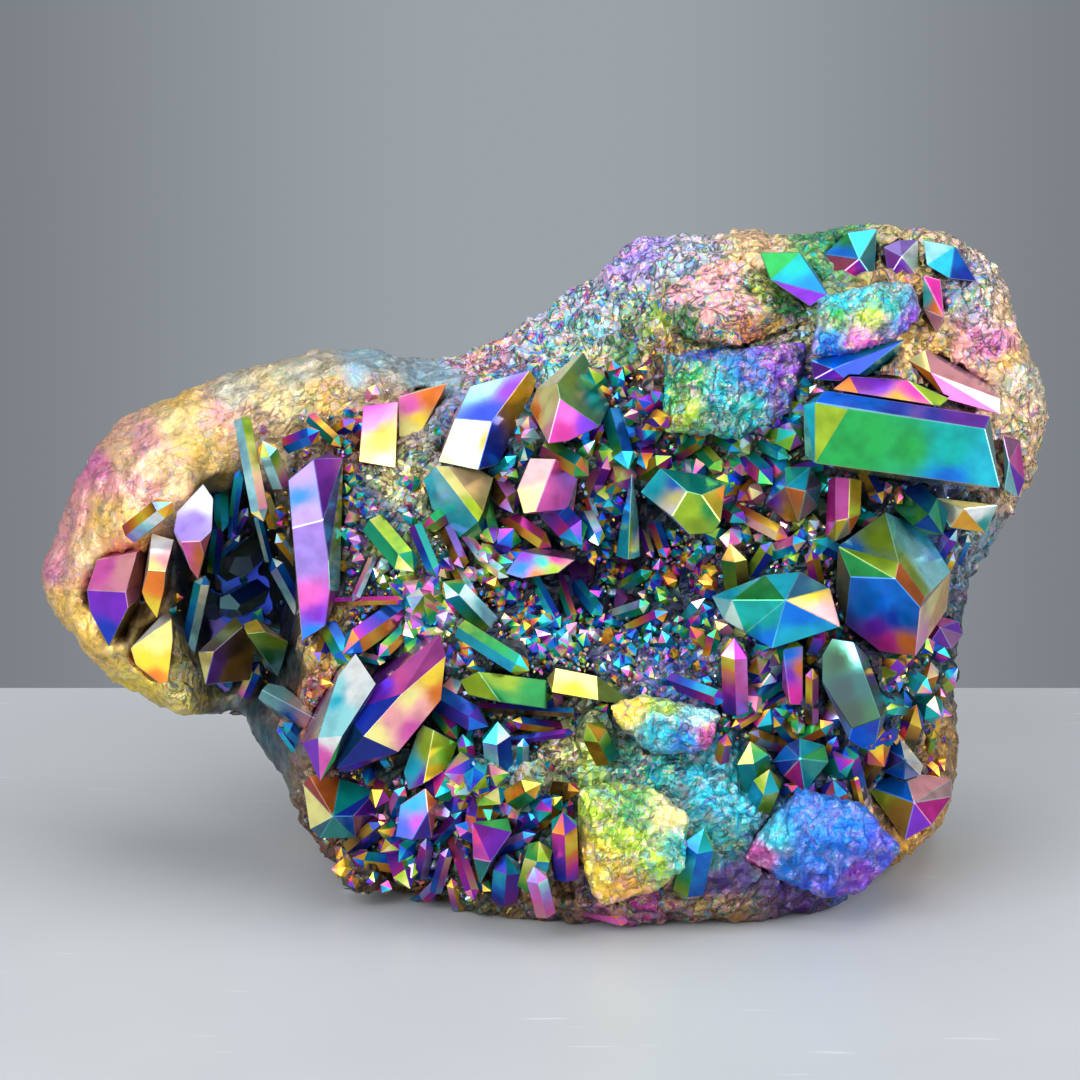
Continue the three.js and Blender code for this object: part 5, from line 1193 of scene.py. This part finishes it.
def rock_places(points, normals):
    """At points of the rock, arrays of: film, shade, speckle, room, size; and the blended colour.

    The film is that of one of the named places near the point, by chance, so crystals of two coats mix.
    """
    noise.seed_set(settings().seed)
    bends = np.array([noise.noise_vector(Vector(point) * BEND_SCALE) for point in points])
    seen = np.array([sighted(Vector(point)) for point in points]) + bends * BEND_REACH
    spots = np.array([(row[0], row[1]) for row in ROCK_PLACES], dtype=float)
    values = np.array([(film(row[2]), *row[3:]) for row in ROCK_PLACES], dtype=float)
    tints = np.array([colour_of(row[2]) for row in ROCK_PLACES])
    apart = ((seen[:, None, :2] - spots[None]) ** 2).sum(axis=2)
    weights = 1 / (apart ** PLACE_FADE + PLACE_MIDDLE)
    weights /= weights.sum(axis=1, keepdims=True)
    front = weights @ values
    stray = np.random.default_rng(settings().seed).uniform(-CHANCE_STRAY, CHANCE_STRAY, len(points))
    waves = np.array([noise.noise(Vector(point) * CHANCE_SCALE) for point in points])
    chance = np.clip(0.5 + waves * CHANCE_STRENGTH + stray, 0, 1)
    drawn = (weights.cumsum(axis=1) < chance[:, None] * 0.9999).sum(axis=1)
    hidden, hidden_tints = hidden_places(points)
    facing = np.clip((normals @ np.array(TOWARD_VIEWER) - SHOWN_FROM) / SHOWN_OVER, 0, 1)
    seen_share = (facing * facing * (3 - 2 * facing))[:, None]
    mixed = front * seen_share + hidden * (1 - seen_share)
    mixed[:, 0] = np.where(seen_share[:, 0] > chance, values[drawn, 0], hidden[:, 0])
    return mixed, (weights @ tints) * seen_share + hidden_tints * (1 - seen_share)


def hidden_places(points):
    """The same arrays for the rock's back and top, which are bare, with coats in soft uneven patches."""
    films = np.array([film(coat) for coat, _ in HIDDEN_COATS])
    shades = np.array([shade for _, shade in HIDDEN_COATS])
    tints = np.array([colour_of(coat) for coat, _ in HIDDEN_COATS])
    starts = [Vector((9 * number, 3, 1)) for number in range(len(films))]
    waves = np.array([
        [noise.fractal(Vector(point) * HIDDEN_SCALE + start, 0.8, 2.3, 4) for start in starts]
        for point in points])
    weights = np.exp(HIDDEN_CONTRAST * waves)
    weights /= weights.sum(axis=1, keepdims=True)
    rest = np.tile(HIDDEN_REST, (len(points), 1))
    return np.column_stack([films[weights.argmax(axis=1)], weights @ shades, rest]), weights @ tints


def bulged(points):
    """Moves the points near each of the rock's bulges outward, across the line of sight."""
    seen = np.array([sighted(Vector(point)) for point in points])
    moved = points.copy()
    for u, v, reach, out_u, out_v in BULGES:
        apart = np.hypot(seen[:, 0] - u, seen[:, 1] - v) / reach
        pull = np.clip(1 - apart ** 2, 0, 1)[:, None] ** 2
        moved += pull * np.array(place(out_u, out_v, 0) - place(0, 0, 0))
    return moved


def crease(spot):
    """Sharp-crested waves, about 1 at the crest and below 0 in the trough."""
    return 1 - CREASE_SHARPNESS * abs(noise.noise(spot))


def granular(mesh, height, lumps, stretch):
    """Pushes a mesh in and out along its normals, in lumps and sharp creases that run up and down.

    The height, in millimetres, is one number or one for each point; lumps is the share of the broad lumps,
    and stretch is how much longer creases are than wide.
    """
    points, normals = points_of(mesh)
    pushed = np.empty(len(points))
    for number, point in enumerate(points):
        spot = Vector(point)
        long_spot = Vector((spot.x, spot.y, spot.z / stretch))
        pushed[number] = (
            lumps * noise.fractal(spot * LUMP_SCALE, 0.9, 2.1, 3)
            + LONG_CREASE_SHARE * crease(long_spot * LONG_CREASE_SCALE)
            + SHORT_CREASE_SHARE * crease(long_spot * SHORT_CREASE_SCALE + Vector((7, 3, 1)))
            + GRAIN_SHARE * noise.noise(spot * GRAIN_SCALE))
    moved = points + normals * (pushed * height)[:, None] * MM
    in_foot = points[:, 2] < FOOT_HEIGHT * MM
    moved[:, 2] = np.where(in_foot, points[:, 2], np.maximum(moved[:, 2], LOWEST * MM))
    mesh.vertices.foreach_set("co", moved.ravel())
    mesh.update()


# Lying crystals

def rock_depth(tree, u, v):
    """Depth of the rock's face in the sight frame, in millimetres, as seen at (u, v)."""
    ray = (place(u, v, 0) - EYE).normalized()
    hit = tree.ray_cast(EYE, ray)[0]
    if hit is None:
        hit = tree.find_nearest(place(u, v, MISSED_DEPTH))[0]
    return sighted(hit)[2]


def pointed_prism(shape, rings, end):
    """Closes two rings of corners and an end: pairs of a side and the face of the point above it."""
    made = []
    for side in range(SIDES):
        after = (side + 1) % SIDES
        made.append((
            shape.faces.new((rings[0][side], rings[0][after], rings[1][after], rings[1][side])),
            shape.faces.new((rings[1][side], rings[1][after], end)),
        ))
    return made


def lying_crystal(shape, row, depth, rng):
    """Adds a six-sided prism with a pointed end that lies on the rock from its root to its tip."""
    u, v, tip_u, tip_v, width, coats, shade = row
    if u < POCKET_EDGE:
        depth += POCKET_LIFT
        # Painted light: crystals in the deep pocket are brighter
        shade = min(POCKET_LIMIT, shade * POCKET_BRIGHTNESS)
    shown = math.hypot(tip_u - u, tip_v - v)
    root = place(u, v, depth + ROOT_HEIGHT)
    tip = place(tip_u, tip_v, depth + TIP_HEIGHT + RISE_PER_LENGTH * shown + RISE_PER_WIDTH * width)
    axis = (tip - root).normalized()
    across = axis.cross(TOWARD_VIEWER).normalized()
    toward = across.cross(axis)
    root = root - axis * SUNK_LENGTH * MM
    cap = min(POINT_LENGTH * width * MM, POINT_LIMIT * (tip - root).length)
    slant = [rng.uniform(*POINT_SLANTS) for _ in range(SIDES)]
    radius = WIDENING * width * MM / 2
    rings = ([], [])
    for side in range(SIDES):
        angle = math.radians(SIDE_TURN * (side + 0.5))
        out = (across * math.cos(angle) + toward * math.sin(angle) * FLATNESS) * radius
        rings[0].append(shape.verts.new(root + out))
        rings[1].append(shape.verts.new(tip - axis * cap * slant[side] + out))
    end = shape.verts.new(tip + across * rng.uniform(-TIP_STRAY, TIP_STRAY) * radius)
    names = coats.split()
    side_coats = names[::-1] + names
    film_layer, shade_layer = shape.loops.layers.float["film"], shape.loops.layers.float["shade"]
    for side, (long_face, point_face) in enumerate(pointed_prism(shape, rings, end)):
        drift = rng.uniform(-SIDE_DRIFT, SIDE_DRIFT)
        facing = max(0, math.sin(math.radians(SIDE_TURN * (side + 1))))
        # Painted light and shade: sides that face the viewer are brighter, and the roots are darker
        lit = shade * (AWAY_SHADE + FACING_SHADE * facing) * rng.uniform(*SIDE_SHADES)
        for loop in long_face.loops:
            upper = loop.vert in rings[1]
            loop[film_layer] = film(side_coats[side]) + (drift if upper else -drift)
            loop[shade_layer] = lit if upper else lit * ROOT_SHADE
        point_film = film(names[(side + 1) % 3]) + rng.uniform(-POINT_STRAY, POINT_STRAY)
        for loop in point_face.loops:
            loop[film_layer] = point_film + (TIP_SHIFT if loop.vert is end else 0)
            loop[shade_layer] = min(1, shade * rng.uniform(*POINT_SHADES))


def lying_crystals_mesh():
    rock = bmesh.new()
    rock.from_mesh(frame["nodes"]["host_rock"].data)
    tree = BVHTree.FromBMesh(rock)
    rock.free()
    shape = bmesh.new()
    shape.loops.layers.float.new("film")
    shape.loops.layers.float.new("shade")
    rng = random.Random(settings().seed)
    for row in LYING_CRYSTALS:
        lying_crystal(shape, row, rock_depth(tree, (row[0] + row[2]) / 2, (row[1] + row[3]) / 2), rng)
    for vert in shape.verts:
        vert.co.z = max(vert.co.z, TABLE_GAP * MM)
    bmesh.ops.recalc_face_normals(shape, faces=shape.faces)
    return mesh_of("lying_crystals", shape)


# Small crystals

def large_crystal_tree():
    """All large and lying crystals in one tree, for asking what they cover."""
    whole = bmesh.new()
    for node, crystal in frame["nodes"].items():
        if node != "host_rock" and node not in HOLLOW_MARKS:
            whole.from_mesh(crystal.data)
    whole.from_mesh(bpy.data.objects["lying_crystals"].data)
    tree = BVHTree.FromBMesh(whole)
    whole.free()
    return tree


def sight_is_clear(point, tree, spare):
    """True if no large crystal stands between the viewer and a point, or less than the spare beside it."""
    for across, up in ((0, 0), (spare, 0), (-spare, 0), (0, spare), (0, -spare)):
        start = point + Vector((across, 0, up)) + TOWARD_VIEWER * SIGHT_START * MM
        if tree.ray_cast(start, TOWARD_VIEWER, SIGHT_REACH * MM)[0] is not None:
            return False
    return True


def growing_surface(spare):
    """The rock's own surface, with room only where no large crystal covers it and the face shows it."""
    mesh = remeshed("growing surface", node_shape("host_rock"), settings().growth_voxel, smoothing=3)
    points, normals = points_of(mesh)
    values, _ = rock_places(points, normals)
    tree = large_crystal_tree()
    facing = normals @ np.array(TOWARD_VIEWER)
    room = np.clip((values[:, 3] - ROOM_FROM) / ROOM_OVER, 0, 1)
    room *= np.clip((facing - TURN_FROM) / TURN_OVER, 0, 1)
    for number in np.nonzero(room > LEAST_ROOM)[0]:
        if not sight_is_clear(Vector(points[number]), tree, spare):
            room[number] = 0
    write_floats(mesh, "room", room)
    write_floats(mesh, "coat", values[:, 0])
    write_floats(mesh, "size", values[:, 4] * MM)
    return mesh


def crystal_variant(number, rng):
    """A quartz point of unit width that stands on its foot, with its coat facet by facet."""
    shape = bmesh.new()
    shoulder = rng.uniform(*SHOULDERS)
    squash = rng.uniform(*SQUASHES)
    radii = [0.5 * rng.uniform(*CORNERS) for _ in range(SIDES)]
    lean = [rng.uniform(-TIP_LEAN, TIP_LEAN) for _ in range(2)]
    tip = Vector((*lean, shoulder + rng.uniform(*TIPS)))
    rings = []
    for level, wide in ((-FOOT_DEPTH, FOOT_WIDTH), (shoulder, 1.0)):
        ring = []
        for side, radius in enumerate(radii):
            angle = side * math.tau / SIDES
            step = rng.uniform(-SHOULDER_STEP, SHOULDER_STEP) if level > 0 else 0
            out = radius * wide
            ring.append(shape.verts.new((
                math.cos(angle) * out, math.sin(angle) * out * squash, level + step)))
        rings.append(ring)
    pointed_prism(shape, rings, shape.verts.new(tip))
    film_layer = shape.loops.layers.float.new("film")
    shade_layer = shape.loops.layers.float.new("shade")
    for face in shape.faces:
        shift = rng.uniform(-FACE_STRAY, FACE_STRAY)
        slope = rng.uniform(-FACE_SLOPE, FACE_SLOPE)
        for loop in face.loops:
            height = loop.vert.co.z / (shoulder + FOOT_DEPTH)
            loop[film_layer] = shift + slope * height
            # Painted shade: each point is darker toward its foot
            loop[shade_layer] = min(1.0, max(LEAST_SHADE, FOOT_SHADE + HEIGHT_SHADE * height))
    name = f"quartz point {number}"
    return bpy.data.objects.new(name, mesh_of(name, shape))


def scatter_tree(name):
    """Geometry Nodes: quartz points stand where a surface has room, each with its own lean and coat."""
    tree = bpy.data.node_groups.new(name, "GeometryNodeTree")
    face = tree.interface
    face.new_socket("Surface", in_out="INPUT", socket_type="NodeSocketGeometry")
    for label, kind in (
        ("Shapes", "NodeSocketCollection"), ("Spacing", "NodeSocketFloat"), ("Smallest", "NodeSocketFloat"),
        ("Largest", "NodeSocketFloat"), ("Lean", "NodeSocketFloat"), ("Coat Spread", "NodeSocketFloat"),
        ("Brightness", "NodeSocketFloat"), ("Seed", "NodeSocketInt"), ("Material", "NodeSocketMaterial"),
    ):
        face.new_socket(label, in_out="INPUT", socket_type=kind)
    face.new_socket("Crystals", in_out="OUTPUT", socket_type="NodeSocketGeometry")
    given = add_node(tree, "NodeGroupInput").outputs

    def attribute(label):
        inputs = {"Name": label}
        return add_node(tree, "GeometryNodeInputNamedAttribute", inputs, data_type="FLOAT").outputs[0]

    def stored(geometry, label, value, domain):
        inputs = {"Geometry": geometry, "Name": label, "Value": value}
        kind = "GeometryNodeStoreNamedAttribute"
        return add_node(tree, kind, inputs, data_type="FLOAT", domain=domain).outputs[0]

    def vector_maths(operation, inputs):
        return add_node(tree, "ShaderNodeVectorMath", inputs, operation=operation).outputs[0]

    def chance(low, high, seed):
        inputs = {"Min": low, "Max": high, "Seed": seed}
        return add_node(tree, "FunctionNodeRandomValue", inputs, data_type="FLOAT").outputs[1]

    points = add_node(tree, "GeometryNodeDistributePointsOnFaces", {
        "Mesh": given["Surface"], "Distance Min": given["Spacing"], "Density Max": DENSEST,
        "Density Factor": attribute("room"), "Seed": given["Seed"]}, distribute_method="POISSON")
    lean = add_node(tree, "FunctionNodeRandomValue", {"Seed": given["Seed"]}, data_type="FLOAT_VECTOR")
    swing = vector_maths("SUBTRACT", {0: lean.outputs[0], 1: (0.5, 0.5, 0.5)})
    tilt = vector_maths("SCALE", {0: swing, "Scale": given["Lean"]})
    spin = vector_maths("MULTIPLY", {0: tilt, 1: (1, 1, 6)})
    turn = add_node(tree, "FunctionNodeEulerToRotation", {0: spin})
    turned = add_node(tree, "FunctionNodeRotateRotation", {
        0: points.outputs["Rotation"], 1: turn.outputs[0]}, rotation_space="LOCAL")
    size = chance(given["Smallest"], given["Largest"], given["Seed"])
    scale = maths(tree, "MULTIPLY", size, attribute("size"))
    shapes = add_node(tree, "GeometryNodeCollectionInfo", {
        "Collection": given["Shapes"], "Separate Children": True, "Reset Children": True})
    stood = add_node(tree, "GeometryNodeInstanceOnPoints", {
        "Points": points.outputs["Points"], "Instance": shapes.outputs[0], "Pick Instance": True,
        "Rotation": turned.outputs[0], "Scale": scale})
    shift = maths(tree, "MULTIPLY", chance(-1.0, 1.0, 3), given["Coat Spread"])
    coat = maths(tree, "ADD", attribute("coat"), shift)
    real = add_node(tree, "GeometryNodeRealizeInstances", {
        "Geometry": stored(stood.outputs[0], "own coat", coat, "INSTANCE")})
    whole_film = maths(tree, "ADD", attribute("film"), attribute("own coat"))
    # Painted shade of each point, darker toward its foot, scaled by the brightness
    lit = maths(tree, "MULTIPLY", attribute("shade"), given["Brightness"])
    filmed = stored(real.outputs[0], "film", whole_film, "CORNER")
    clad = add_node(tree, "GeometryNodeSetMaterial", {
        "Geometry": stored(filmed, "shade", lit, "CORNER"), "Material": given["Material"]})
    output = add_node(tree, "NodeGroupOutput")
    tree.links.new(clad.outputs[0], output.inputs["Crystals"])
    return tree


def scattered(name, surface, values):
    """A plain mesh of small crystals that stand on a surface, by the scatter tree with the given values."""
    shapes = bpy.data.collections.new(name + " shapes")
    rng = random.Random(settings().seed)
    for number in range(VARIANTS):
        shapes.objects.link(crystal_variant(number, rng))
    source = linked(name + " source", surface)
    modifier = source.modifiers.new("Scatter", "NODES")
    tree = scatter_tree(name + " scatter")
    modifier.node_group = tree
    filled = {**values, "Shapes": shapes, "Seed": settings().seed, "Material": material("druse")}
    for item in tree.interface.items_tree:
        if item.in_out == "INPUT" and item.name in filled:
            modifier[item.identifier] = filled[item.name]
    depsgraph = bpy.context.evaluated_depsgraph_get()
    mesh = bpy.data.meshes.new_from_object(source.evaluated_get(depsgraph), depsgraph=depsgraph)
    mesh.name = name
    for shape in list(shapes.objects):
        bpy.data.objects.remove(shape)
    bpy.data.collections.remove(shapes)
    bpy.data.objects.remove(source)
    bpy.data.meshes.remove(surface)
    return mesh


# The stage

def make_camera():
    data = bpy.data.cameras.new("Camera")
    camera = linked("Camera", data)
    camera.location = EYE
    camera.rotation_euler = TOWARD_VIEWER.to_track_quat("Z", "Y").to_euler()
    data.sensor_width = SENSOR_WIDTH
    data.lens = PIXELS_PER_MM * SIGHT_DISTANCE / PICTURE_SIZE * SENSOR_WIDTH
    data.clip_start = NEAREST_SEEN
    bpy.context.scene.camera = camera


def table_material():
    """A pale, slightly cloudy table with a few faint scratches."""
    made, tree = new_material("table")
    where = place_in_piece(tree)
    dark, bright = ([part * change for part in settings().floor_colour] for change in (0.9, 1.1))
    base = mixed_colour(tree, cloud(tree, where, scale=14.0, detail=5.0), (*dark, 1), (*bright, 1))
    along = add_node(tree, "ShaderNodeMapping", {
        "Vector": where, "Scale": (40.0, 420.0, 1.0), "Rotation": (0, 0, 0.3)}).outputs[0]
    scratches = ranged(tree, cloud(tree, along, scale=1.0, detail=2.0), (0.7, 0.8), (0.0, 0.5))
    show(tree, add_node(tree, "ShaderNodeBsdfPrincipled", {
        "Base Color": mixed_colour(tree, scratches, base, (0.85, 0.85, 0.87, 1)), "Roughness": 0.45}))
    return made


def backdrop_material():
    """A backdrop that gives its own even light, less toward its sides."""
    made, tree = new_material("backdrop")
    where = add_node(tree, "ShaderNodeSeparateXYZ", {0: place_in_piece(tree)})
    aside = maths(tree, "ABSOLUTE", where.outputs["X"])
    show(tree, add_node(tree, "ShaderNodeEmission", {
        "Color": (*settings().wall_colour, 1),
        "Strength": ranged(tree, aside, (0.05, 0.56), (1.0, 0.58), interpolation_type="SMOOTHSTEP")}))
    return made


def flat_sheet(name, corners, made):
    mesh = bpy.data.meshes.new(name)
    mesh.from_pydata(corners, [], [(0, 1, 2, 3)])
    mesh.materials.append(made)
    linked(name, mesh)


def table_back_edge():
    """How far back the table reaches, from the height at which its edge shows."""
    down = (TABLE_EDGE_ROW - PICTURE_SIZE / 2) / (PIXELS_PER_MM * SIGHT_DISTANCE)
    steep = SIGHT_TILT + math.atan(down)
    return EYE.y + EYE.z / math.tan(steep)


def make_table():
    """The table, and the backdrop far behind it."""
    back = table_back_edge()
    wide = TABLE_HALF_WIDTH
    table = [(-wide, TABLE_FRONT, 0), (wide, TABLE_FRONT, 0), (wide, back, 0), (-wide, back, 0)]
    flat_sheet("table", table, table_material())
    wide, behind = WALL_HALF_WIDTH, back + WALL_GAP
    wall = [
        (-wide, behind, WALL_FOOT), (wide, behind, WALL_FOOT),
        (wide, behind, WALL_TOP), (-wide, behind, WALL_TOP)]
    flat_sheet("backdrop", wall, backdrop_material())


def make_lights():
    bpy.context.scene.view_settings.view_transform = "Standard"
    world = bpy.data.worlds.new("studio")
    bpy.context.scene.world = world
    world.use_nodes = True
    tree = world.node_tree
    direction = add_node(tree, "ShaderNodeTexCoord").outputs["Generated"]
    upward = add_node(tree, "ShaderNodeSeparateXYZ", {0: direction}).outputs["Z"]
    background = tree.nodes["Background"]
    tree.links.new(ranged(tree, upward, SKY_HEIGHTS, SKY_STRENGTHS), background.inputs["Strength"])
    background.inputs["Color"].default_value = SKY_COLOUR
    for name, spot, size, power in LAMPS:
        data = bpy.data.lights.new(name, "AREA")
        data.size = size
        data.energy = power
        lamp = linked(name, data)
        lamp.location = spot
        lamp.rotation_euler = (Vector(spot) - LAMP_TARGET).to_track_quat("Z", "Y").to_euler()


# Operators

class DressStage(bpy.types.Operator):
    """Makes the camera, the pale table, the grey backdrop and the soft studio light"""
    bl_idname = "cluster.stage"
    bl_label = "Stage"

    def execute(self, context):
        make_camera()
        make_table()
        make_lights()
        return {"FINISHED"}


class DressRock(bpy.types.Operator):
    """Makes the host rock: granular, with a coat that changes over its face"""
    bl_idname = "cluster.rock"
    bl_label = "Host rock"

    def execute(self, context):
        mesh = remeshed("host_rock_coated", node_shape("host_rock"), settings().rock_voxel, smoothing=2)
        points, normals = points_of(mesh)
        values, colours = rock_places(points, normals)
        speckle, room = values[:, 2], values[:, 3]
        write_colours(mesh, "coat", colours)
        # Painted shade: the rock is darker where small crystals stand on it
        write_floats(mesh, "shade", values[:, 1] * (1 - SHADE_UNDER_CRYSTALS * np.clip(room * SHADE_UNDER_RISE, 0, 1)))
        write_floats(mesh, "speckle", speckle)
        mesh.vertices.foreach_set("co", bulged(points).ravel())
        height = settings().grain_height / MM * (SMOOTH_RELIEF + SPECKLE_RELIEF * speckle)
        granular(mesh, height, lumps=1.3, stretch=1.3)
        first_corners = np.array([face.vertices[0] for face in mesh.polygons])
        mesh.polygons.foreach_set("use_smooth", speckle[first_corners] < SMOOTH_SPECKLE)
        finished("host_rock_coated", mesh, ["host_rock"], "rock")
        return {"FINISHED"}


class DressRoughCrystals(bpy.types.Operator):
    """Makes the large crystals whose faces are rough and granular"""
    bl_idname = "cluster.rough_crystals"
    bl_label = "Rough crystals"

    def execute(self, context):
        for node, speckle in ROUGH_CRYSTALS.items():
            shape = node_shape(node)
            by_facet = marks_by_facet(shape, CRYSTAL_MARKS[node])
            marks = [mark for found in by_facet.values() for mark in found]
            mesh = remeshed(node + "_coated", shape, settings().rough_voxel, smoothing=1)
            granular(mesh, height=0.5, lumps=0.4, stretch=2.0)
            coats = [blended_coat(vert.co, marks) for vert in mesh.vertices]
            write_colours(mesh, "coat", [coat for coat, _ in coats])
            write_floats(mesh, "shade", [shade for _, shade in coats])
            write_floats(mesh, "speckle", [speckle] * len(coats))
            mesh.shade_flat()
            finished(mesh.name, mesh, [node], "rock")
        return {"FINISHED"}


class DressCrystals(bpy.types.Operator):
    """Makes the large crystals, with painted highlights on their edges and a coat that changes over each
    facet
    """
    bl_idname = "cluster.crystals"
    bl_label = "Large crystals"

    def execute(self, context):
        for seed, (node, marks) in enumerate(CRYSTAL_MARKS.items()):
            if node not in ROUGH_CRYSTALS:
                faceted_piece(node, marks, seed)
        return {"FINISHED"}


class DressHollows(bpy.types.Operator):
    """Makes the crusts of crystals in the two hollows"""
    bl_idname = "cluster.hollows"
    bl_label = "Crusts of the hollows"

    def execute(self, context):
        for seed, (node, marks) in enumerate(HOLLOW_MARKS.items(), FIRST_HOLLOW_SEED):
            faceted_piece(node, marks, seed)
        return {"FINISHED"}


class DressLyingCrystals(bpy.types.Operator):
    """Makes the middling crystals that lie on the rock between the large ones"""
    bl_idname = "cluster.lying_crystals"
    bl_label = "Lying crystals"

    def execute(self, context):
        finished("lying_crystals", lying_crystals_mesh(), [], "druse")
        return {"FINISHED"}


class DressSmallCrystals(bpy.types.Operator):
    """Makes the small crystals that cover the face between the large ones"""
    bl_idname = "cluster.small_crystals"
    bl_label = "Small crystals"

    def execute(self, context):
        mesh = scattered("small_crystals", growing_surface(spare=0.7 * MM), {
            "Spacing": settings().druse_spacing, "Smallest": 0.8, "Largest": 1.5, "Lean": 1.3,
            "Coat Spread": 0.34, "Brightness": 1.25})
        finished("small_crystals", mesh, [], "druse")
        return {"FINISHED"}


class DressFineDruse(bpy.types.Operator):
    """Makes the finest crystals, in the gaps and hollows between the others"""
    bl_idname = "cluster.fine_druse"
    bl_label = "Fine druse"

    def execute(self, context):
        mesh = scattered("fine_druse", growing_surface(spare=0.3 * MM), {
            "Spacing": settings().fine_spacing, "Smallest": 0.22, "Largest": 0.5, "Lean": 1.8,
            "Coat Spread": 0.5, "Brightness": 1.15})
        finished("fine_druse", mesh, [], "druse")
        return {"FINISHED"}


class ClusterPanel(bpy.types.Panel):
    bl_idname = "VIEW3D_PT_cluster"
    bl_label = "Coated Cluster"
    bl_space_type = "VIEW_3D"
    bl_region_type = "UI"
    bl_category = "Cluster"

    def draw(self, context):
        for name in ClusterSettings.__annotations__:
            self.layout.prop(context.scene.cluster, name)
        for step in STEPS:
            self.layout.operator(step.bl_idname)


STEPS = (
    DressStage, DressRock, DressRoughCrystals, DressCrystals, DressHollows, DressLyingCrystals,
    DressSmallCrystals, DressFineDruse,
)
CLASSES = (ClusterSettings, *STEPS, ClusterPanel)


def register():
    for item in CLASSES:
        bpy.utils.register_class(item)
    bpy.types.Scene.cluster = bpy.props.PointerProperty(type=ClusterSettings)


def unregister():
    del bpy.types.Scene.cluster
    for item in reversed(CLASSES):
        bpy.utils.unregister_class(item)


def main():
    register()
    for step in STEPS:
        group, name = step.bl_idname.split(".")
        getattr(getattr(bpy.ops, group), name)()


if __name__ == "__main__":
    main()
